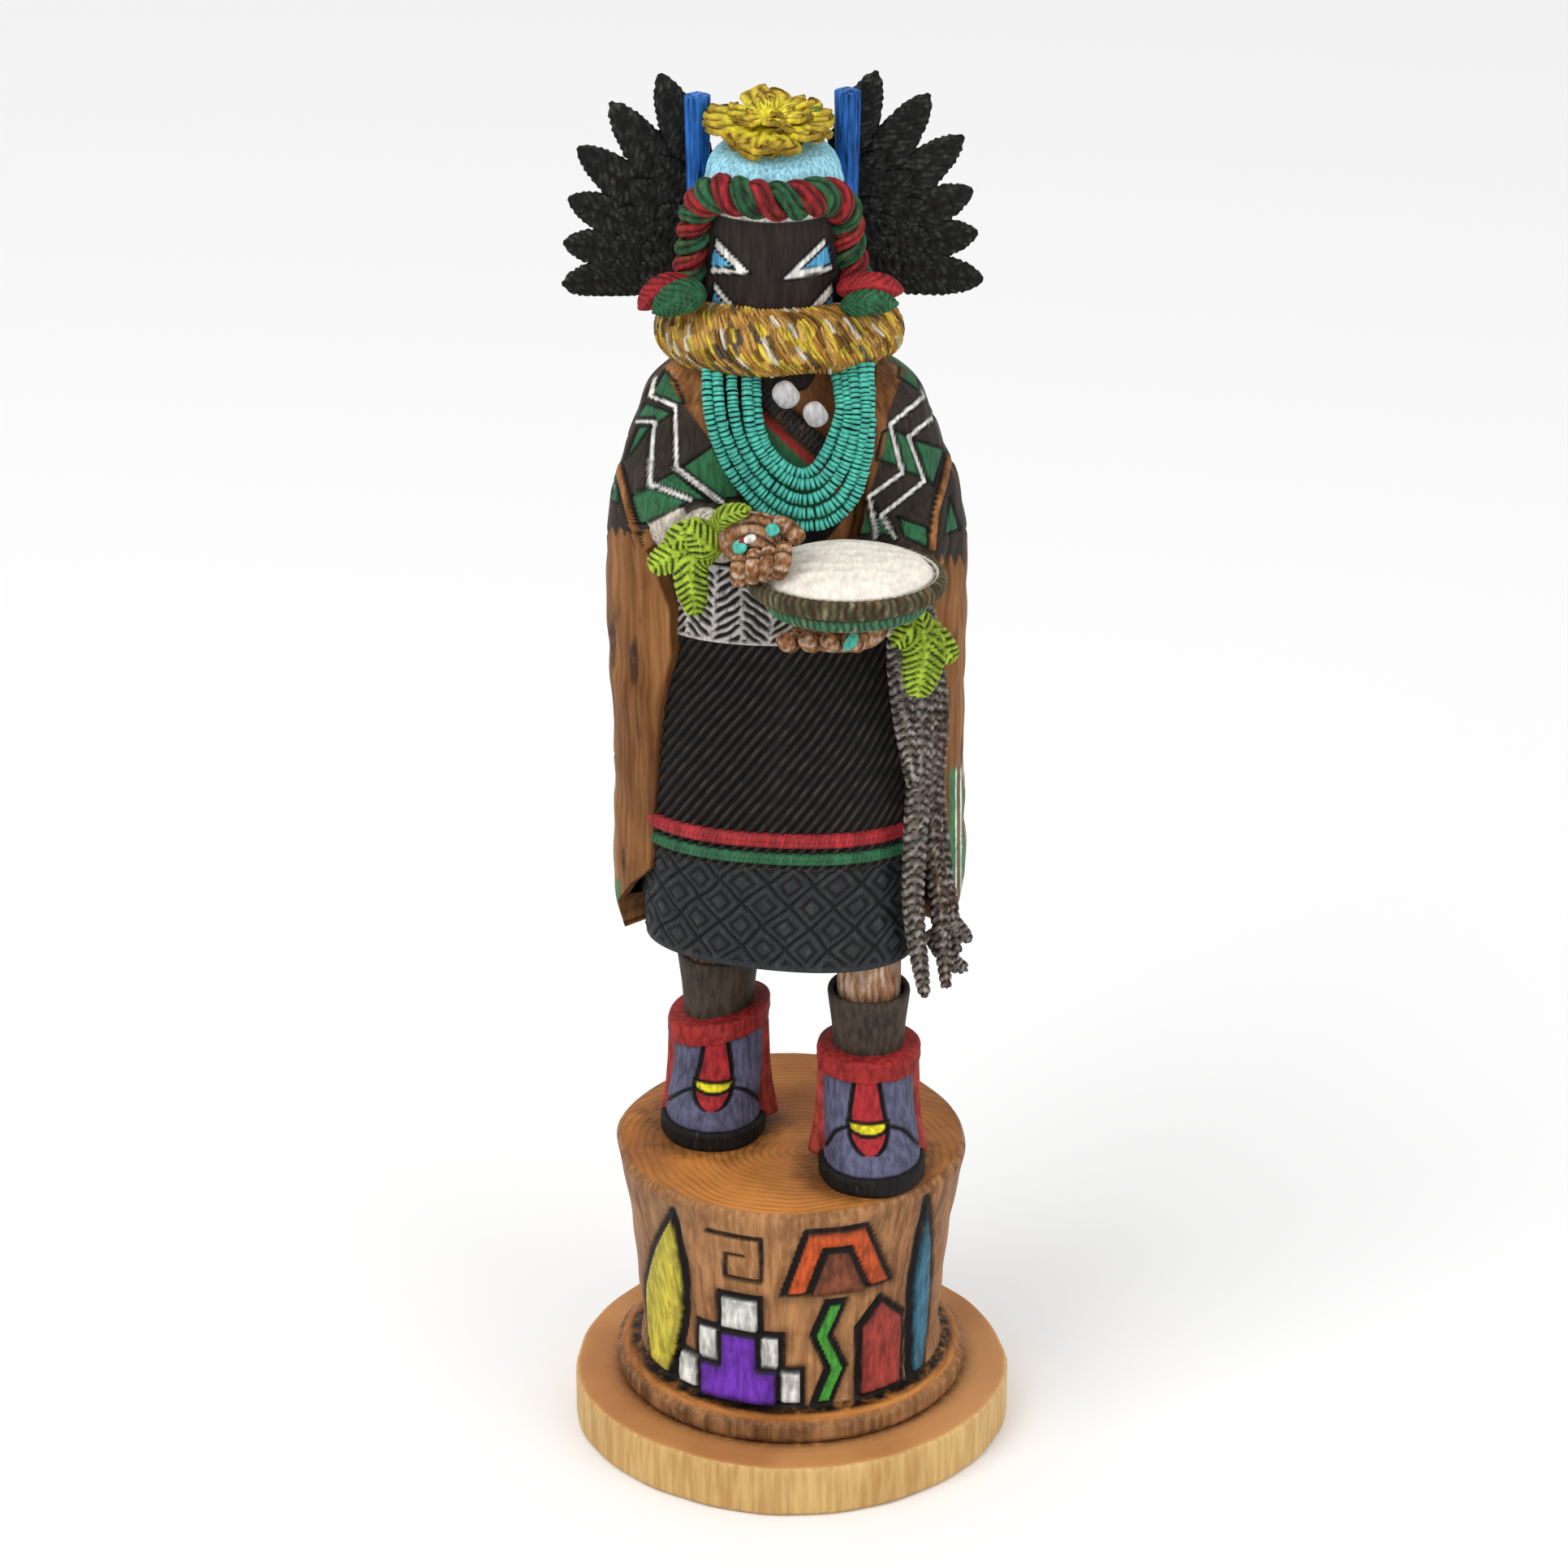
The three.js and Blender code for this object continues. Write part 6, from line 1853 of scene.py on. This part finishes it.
SPRIG_LEAVES = (
    ((-15, -33, 151), (-22, -35.5, 149.8), (-28.2, -36, 146.2), 3.3),
    ((-15.5, -33, 150), (-20, -36.6, 147.4), (-19.3, -37.2, 136.8), 3.2),
    ((-15.4, -33.5, 149.4), (-17.6, -36.6, 152), (-21.4, -36.6, 156), 3.0),
    ((-16, -33.6, 152.4), (-20, -36, 153.8), (-25, -35.6, 151.2), 2.8),
    ((-15, -33, 153.4), (-13, -38, 158.4), (-8.8, -40.6, 160.6), 2.0),
    ((23, -31, 133), (26.6, -35.6, 130), (25.4, -36.2, 118.6), 4.0),
    ((23, -31, 132.8), (28, -34.6, 130.8), (32.8, -35, 126), 3.0),
    ((23.4, -31.5, 133.4), (24, -34.6, 132.6), (20.4, -35.4, 129.4), 2.5),
    ((22.6, -31, 132.4), (26.4, -34.6, 133), (25.6, -35, 137), 1.8))

WHIP_BLADES = (
    ((22.4, -27, 134), (21.6, -24.6, 124), (22.6, -23.6, 112), (25, -23.4, 92.8), 2.5),
    ((24, -24, 134), (26.4, -22.8, 112), (26.2, -22.4, 94), (25.4, -22.6, 75), (25.6, -22.4, 62),
     (28, -20, 43), 2.7),
    ((26, -20, 134), (28.6, -18.4, 109), (28.8, -18, 92), (29.2, -18.4, 79), (30.6, -18.8, 66),
     (32.6, -18, 44), 2.5),
    ((27, -17, 134), (30.4, -15, 108), (29.8, -14.6, 90), (31.4, -14.8, 74), (33.6, -14.8, 60), (35, -14, 50),
     2.2),
    ((30, -16, 62), (34.6, -14.4, 56), (37.4, -13, 52.6), 2.2),
    ((29, -17, 56), (33.6, -15, 48.6), (36.8, -13.6, 46), 2.2))


@dataclass(frozen=True)
class Held:
    """The green sprigs and the bundle of long grey leaves that the hands hold."""

    green: Finish = Finish("sprig paint", streak_strength=0.4, fleck=0.24, shade_and_stain_colour=srgb(12, 24, 18), bump=0.2)
    grey: Finish = Finish("leaf paint", streak_strength=0.42, fleck=0.4, fleck_colour=srgb(170, 158, 146),
                          shade_and_stain_colour=srgb(26, 18, 14), bump=0.2)

    def make(self) -> list[bpy.types.Object]:
        """Builds the sprigs and the bundle."""
        sprigs, bundle = Carving("sprigs"), Carving("long_leaves")
        for *path, width in SPRIG_LEAVES:
            leaf = blade(beyond(path), width * 1.12, 1.9, Paint.LIME, 0.7, 1.5, 0.6, blunt=0.3)
            leaf.line(leaf.groove, 0.0, Paint.BLACK)
            sprigs.add(leaf)
        for number, (*path, width) in enumerate(WHIP_BLADES):
            rows = int(len(path) * 36)
            leaf = blade(beyond(path), width, 1.7, Paint.WHIP, 0.9, 2.1, 0.55, (0.15, -1.0, 0.1), rows, 20,
                         0.28)
            reach = np.arange(rows)[:, None] * 0.83 + 0 * leaf.groove
            leaf.cover(srgb(98, 74, 56),
                       0.8 * (number in (2, 3)) * smooth(wander(reach, reach * 0, 30.0, number), -0.6, 0.6))
            # painted highlights in light grey where the noise is high, black patches where it is low
            highlight_and_dark_noise = wander(reach, leaf.points[..., 0] * 2.4, 4.0, 7 + number)
            leaf.cover(srgb(184, 178, 174), smooth(highlight_and_dark_noise, 0.0, 0.9) * 0.7)
            leaf.cover(Paint.BLACK, smooth(-highlight_and_dark_noise, 0.2, 1.0) * 0.7)
            leaf.line(leaf.groove, 0.0, Paint.BLACK)
            bundle.add(leaf)
        return [sprigs.make(self.green.material()), bundle.make(self.grey.material())]


@dataclass(frozen=True)
class Tray:
    """The coiled plaque with its heap of meal."""

    middle: tuple[float, float] = (11.0, -37.6)
    half: tuple[float, float] = (20.2, 17.2)
    rim: float = 214.4
    depth: float = 8.4
    rise: float = 3.2
    finish: Finish = Finish("meal paint", streak=(1100.0, 420.0, 700.0), streak_strength=0.14, fleck=0.08,
                            fleck_colour=srgb(156, 122, 80), shade_and_stain_colour=srgb(52, 34, 18), bump=0.22)

    def make(self) -> bpy.types.Object:
        """Builds the tray."""
        profile = [(0.3, -self.depth), (0.70, -self.depth), (0.78, -self.depth + 0.5),
                   (0.825, -self.depth + 1.7),
                   (0.84, -self.depth + 2.8), (0.83, -self.depth + 3.6), (0.93, -self.depth + 4.0),
                   (0.985, -self.depth + 5.0),
                   (1.0, -1.9), (0.99, -0.8), (0.965, -0.2), (0.93, 0.0), (0.895, -0.35), (0.875, -0.9),
                   (0.84, -0.2),
                   (0.78, self.rise * 0.36), (0.64, self.rise * 0.7), (0.45, self.rise * 0.92),
                   (0.2, self.rise), (0.03, self.rise)]
        table = np.asarray(profile)
        length = running(np.hypot(np.diff(table[:, 0]) * 18.0, np.diff(table[:, 1])))
        wanted = np.linspace(0.0, length[-1], 90)
        share, level = np.interp(wanted, length, table[:, 0]), np.interp(wanted, length, table[:, 1])
        turn = front_turns(270)
        x = self.middle[0] + self.half[0] * share[:, None] * np.cos(turn)
        y = self.middle[1] + self.half[1] * share[:, None] * np.sin(turn)
        skin = Skin(np.stack([x, y, np.broadcast_to(self.rim + level[:, None], x.shape)], axis=2))
        turning, way = wanted[:, None], turn[None] * 17.6
        outside = wanted < length[11] + 0.4
        meal = wanted > length[13] - 0.2
        lower = (wanted > length[1]) & (wanted < length[5])
        upper = (wanted >= length[5]) & outside
        stitches = ridge((way + turning * 0.12) / 1.6 + 0.24 * wander(way, turning, 5.0, 30), 0.42)
        skin.cover(Paint.MEAL)
        skin.cover(Paint.RIM_GREEN, np.broadcast_to(lower[:, None], x.shape) * 1.0)
        skin.cover(Paint.RIM, np.broadcast_to(upper[:, None], x.shape) * 1.0)
        skin.cover(Paint.SKIN, upper[:, None] * smooth(wander(way, turning * 0.3, 3.4, 34), 0.2, 1.0) * 0.5)
        # painted highlight: paler patches on the raised coil between the stitches
        coil_highlight = (1.0 - stitches) * smooth(wander(way, turning * 0.5, 2.6, 35), 0.0,
                                        0.9) * (lower | upper)[:, None]
        skin.cover(srgb(156, 150, 122), coil_highlight * 0.5)
        skin.cover(srgb(44, 34, 26),
                   upper[:, None] * smooth(wander(way, turning * 0.3, 4.0, 36), 0.1, 0.9) * 0.7)
        coil = (lower | upper)[:, None] * stitches
        skin.push(-0.22 * coil)
        brushed = wander(x * 0.6 + 0.25 * y, y * 3.2, 8.0, 33)
        skin.push(meal[:, None] * 0.09 * brushed)
        edge = near(wanted - length[13], 0.2, 0.9)
        seam = near(wanted - length[5], 0.2, 0.9)
        marks = smooth(brushed, 0.35, 1.1) * meal[:, None] * 0.14
        skin.groove = np.clip(np.maximum.reduce([coil, edge[:, None] + 0 * x, seam[:, None] + 0 * x, marks]),
                              0.0, 1.0)
        return Carving("coiled_tray").add(skin).make(self.finish.material())


@dataclass(frozen=True)
class Fan:
    """A fan of dark feathers behind one side of the head."""

    name: str
    root: tuple[float, float]
    tips: tuple
    side: float
    plane: float = 10.6
    axis: float = -4.3
    foot: float = 187.6
    thick: float = 1.7
    finish: Finish = Finish("feather paint", streak=(1300.0, 900.0, 700.0), streak_strength=0.5, fleck=0.2,
                            fleck_colour=srgb(92, 88, 84), bump=0.2, roughness=(0.42, 0.66))

    def make(self) -> bpy.types.Object:
        """Builds the feathers, the lowest first."""
        carving = Carving(self.name)
        tips = np.asarray(self.tips)
        root = np.asarray(self.root)
        between = (tips[1:] + tips[:-1]) / 2
        rows = [(tips, 1.0, 0.0, 4.8), (between, 0.66, 1.5, 5.0), (tips[1:-1], 0.44, 2.7, 4.4)]
        for ends, share, lift, width in rows:
            for number, end in enumerate(root + (ends - root) * share):
                carving.add(self.feather(self.path(end, lift + 0.3 * (number % 2)), width))
        return carving.make(self.finish.material())

    def path(self, end: np.ndarray, lift: float) -> np.ndarray:
        """The middle line of the feather that ends there."""
        start = np.array([self.root[0] * 0.6, self.root[1] + 1.0])
        span = end - start
        bow = np.array([-span[1], span[0]]) / np.linalg.norm(span)
        places = [start + span * share + bow * 0.7
                  * math.sin(math.pi * share) for share in (0.0, 0.35, 0.7, 1.0)]
        return np.array([(self.axis + self.side * across, self.plane - lift, up + SOLE) for across,
                         up in places])

    def feather(self, path: np.ndarray, width: float) -> Skin:
        """One feather: parallel sides, then a long point, a rib and slanting barbs."""
        rows, sides = 64, 28
        line = curve(path, rows)
        along = unit(np.gradient(line, axis=0))
        out = np.array([0.0, -1.0, 0.0])
        side = np.cross(along, out)
        share = np.linspace(0.0, 1.0, rows)
        reach = np.maximum(width * np.interp(share, (0, 0.35, 0.58, 0.76, 0.89, 0.96, 1),
                                             (0.5, 0.9, 1.0, 0.94, 0.7, 0.42, 0.1)), 0.12)
        turn = round_turns(sides)
        across, lift = np.sin(turn), np.cos(turn)
        body = (self.thick - 0.5) * np.minimum(1.0, reach / width * 2.2)
        points = line[:, None] + side[:, None] * (across[None] * reach[:, None])[..., None]
        points = points + out * (np.sign(lift) * np.abs(lift) ** 0.55)[None, :, None] * body[:, None, None]
        skin = Skin(points)
        length = share * np.linalg.norm(np.diff(line, axis=0), axis=1).sum()
        off = np.abs(across[None] * reach[:, None])
        skin.points[..., 2] = np.maximum(skin.points[..., 2], self.foot + SOLE)
        barbs = ridge((length[:, None] - off * 1.15 + 0.3 * wander(length[:, None], off, 4.0, 44)) / 1.9,
                      0.34)
        barbs = barbs * smooth(off, 0.35, 0.8)
        rib = 1.0 - smooth(off, 0.25, 0.6)
        skin.cover(Paint.FEATHER)
        # lighter grey on the raised parts between barbs: dry-brushing, partly painted highlight
        tops = (1.0 - barbs) * smooth(wander(length[:, None], off * 2.0, 3.0, 45), -0.2, 1.0)
        skin.cover(srgb(92, 90, 88), tops * 0.46)
        # painted shade: darker along each feather's edge, in the gaps between overlapping feathers
        rim = smooth(np.abs(across), 0.9, 0.99)[None] * smooth(share, 0.02, 0.1)[:, None]
        skin.push((-0.35 * rib - 0.45 * barbs) * smooth(reach, 0.4, 1.2)[:, None])
        skin.groove = np.maximum.reduce([barbs * 0.9, rib, rim * 0.9])
        return skin


@dataclass(frozen=True)
class Peg:
    """A blue peg beside the head."""

    name: str
    place: tuple[float, float]
    top: float
    foot: float = 199.0
    radius: float = 2.7
    finish: Finish = Finish("peg paint", streak=(1300.0, 1300.0, 110.0), streak_strength=0.7, fleck=0.6,
                            fleck_colour=srgb(18, 36, 92))

    def make(self) -> bpy.types.Object:
        """Builds the peg."""
        path = curve([(*self.place, h + SOLE) for h in np.linspace(self.foot, self.top, 5)], 40)
        peg = tube(path, np.linspace(0.76, 1.0, 40) * self.radius, 28, close=0.35)
        peg.cover(Paint.PEG)
        top = smooth(peg.points[..., 2], self.top + SOLE - 0.9, self.top + SOLE - 0.1)
        peg.cover(srgb(88, 130, 200), top * 0.8)
        return Carving(self.name).add(peg).make(self.finish.material())


@dataclass(frozen=True)
class Crest:
    """The yellow flower on the crown: a ring of cupped, ribbed petals round a bright bud."""

    middle: tuple[float, float] = (-4.4, -2.4)
    foot: float = 292.0
    radius: float = 13.2
    lean: float = 0.06
    petals: int = 8
    finish: Finish = Finish("petal paint", streak_strength=0.34, fleck=0.3, fleck_colour=srgb(120, 88, 30),
                            shade_and_stain_colour=srgb(84, 52, 16), bump=0.2)

    def petal(self, length: float, width: float, rise: float) -> Skin:
        """One petal along +X: a ribbed fan whose scalloped edge turns down."""
        rows, sides = 30, 40
        share = np.linspace(0.0, 1.0, rows)
        line = np.stack([length * share, 0 * share, rise * np.sin(share * 2.3)], axis=1)
        side = np.array([0.0, 1.0, 0.0])
        out = np.cross(unit(np.gradient(line, axis=0)), side)
        keys = ((0, 0.3, 0.6, 0.8, 0.9, 0.96, 1), (0.24, 0.55, 0.88, 1.0, 0.94, 0.74, 0.36))
        reach = width * np.interp(share, *keys)
        turn = round_turns(sides)
        across, lift = np.sin(turn), np.cos(turn)
        fray = 0.16 * wander(share[:, None] * 9.0, across[None] * 6.0, 4.0, 92)
        ribs = ridge(across[None] * 2.0 + 0.5 + fray, 0.22) * smooth(share, 0.25, 0.5)[:, None]
        points = line[:, None] + side * (across[None] * reach[:, None])[..., None]
        points = points + out[:, None] * (np.sign(lift) * np.abs(lift) ** 0.7)[None, :, None] * 1.1
        points[..., 0] -= 1.2 * ribs * smooth(share, 0.7, 1.0)[:, None]
        points[..., 2] += 0.45 * np.sin(across[None] * 5.5) * smooth(share, 0.4, 1.0)[:, None]
        points[..., 2] -= 0.03 * (across[None] * reach[:, None]) ** 2
        skin = Skin(points)
        skin.cover(srgb(240, 226, 66))
        outer = smooth(share, 0.5, 0.85)[:, None]
        skin.cover(Paint.CREST, outer)
        skin.push(-0.5 * ribs)
        skin.cover(srgb(62, 42, 20), ribs * (0.45 + 0.5 * outer))
        skin.cover(Paint.CREST_BROWN, smooth(share, 0.9, 1.0)[:, None] * 0.6)
        skin.groove = ribs * 0.75
        return skin

    def make(self, layout: SetOut) -> list[bpy.types.Object]:
        """Builds the flower, with its rings of petals set out round the middle."""
        material = self.finish.material()
        places, turns, sizes = [], [], []
        rng = np.random.default_rng(17)
        for ring, (count, scale, lift, pitch) in enumerate(((self.petals, 1.0, 2.9, 0.0),
                                                            (6, 0.66, 4.2, 0.12), (4, 0.36, 5.0, 0.3))):
            for number in range(count):
                angle = TAU * (number + 0.5 * ring) / count + 0.2 + rng.normal(0.0, 0.06)
                place = (self.middle[0] + 0.6 * math.cos(angle), self.middle[1] + 0.6 * math.sin(angle),
                         self.foot + lift)
                places.append(place)
                turns.append((rng.normal(0.0, 0.16),
                              -pitch - self.lean * max(math.sin(angle), 0.0) + rng.normal(0.0, 0.06), angle))
                sizes.append((scale * (1.0 + rng.normal(0.0, 0.05)), scale * (1.0 + rng.normal(0.0, 0.05)),
                              1.0 - 0.2 * ring))
        petal = Carving("petal").add(self.petal(self.radius, 5.3, 1.3)).make(material)
        flower = layout.make("crest_petals", petal, np.array(places), np.array(turns), np.array(sizes),
                             material)
        buds = [tube(curve([(*self.middle, self.foot + z) for z in (0.0, 1.2, 2.6)], 20), 6.6,
                     60).cover(Paint.CREST_BROWN)]
        for x, y, height, size, colour in ((-1.2, 0.4, 4.2, 1.9, srgb(232, 220, 60)),
                                           (9.4, 4.6, 5.2, 2.0, srgb(92, 116, 48))):
            path = curve([(self.middle[0] + x, self.middle[1] + y,
                           self.foot + height + z) for z in (-3.0, 0.0, 1.0)], 20)
            buds.append(tube(path, size, 40, close=1.0).cover(colour))
        return [flower, Carving("crest_heart").add(*buds).make(material)]


FANS = (Fan("right_fan", (14.5, 191),
            ((22.2, 234.4), (32.2, 228.6), (38.9, 219), (41, 208.4), (42.2, 198.8), (42.6, 190)), -1.0),
        Fan("left_fan", (14.5, 192),
            ((21.4, 235), (32, 230.3), (39, 221.4), (41, 210.2), (42.2, 201), (43.4, 191)), 1.0))
PEGS = (Peg("right_peg", (-18.9, 5.6), 232.2), Peg("left_peg", (11.2, 5.6), 233.2))
FEET = (Foot("right_foot", (-16.9, 3.6), (-15.6, 5.0), 0.22),
        Foot("left_foot", (17.2, -17.2), (16.4, -13.2), 0.0))


def ride(*pieces: bpy.types.Object, node: str, slot: str) -> None:
    """Lets pieces stand for a CAD node: parents them to the root body and hides the node."""
    for piece in pieces:
        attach(piece, "root")
        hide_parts(node)
        LOG.info("%s: %d faces", piece.name, len(piece.data.polygons))


def main() -> None:
    """Builds the doll and its studio."""
    logging.basicConfig(level=logging.INFO, format="%(message)s")
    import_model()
    VIEW.make()
    Studio().make()
    ride(BaseDisc().make(), node="base_disc", slot="pale_wood")
    ride(Pedestal().make(), node="pedestal", slot="carved_wood")
    layout = SetOut("set out")
    figure = [*Dress().make(), *Shawl().make(), Head().make(), Ruff().make(), HairTie().make(),
              Necklace().make(layout), Chest().make()]
    figure += [foot.make() for foot in FEET] + Arms().make() + Held().make()
    ride(*figure, node="figure", slot="painted_wood")
    ride(Tray().make(), node="meal_tray", slot="tray_paint")
    for fan, node in zip(FANS, ("feather_fan_right", "feather_fan_left")):
        ride(fan.make(), node=node, slot="feather_paint")
    for peg, node in zip(PEGS, ("side_peg_right", "side_peg_left")):
        ride(peg.make(), node=node, slot="peg_paint")
    ride(*Crest().make(layout), node="crest", slot="crest_paint")


if __name__ == "__main__":
    main()
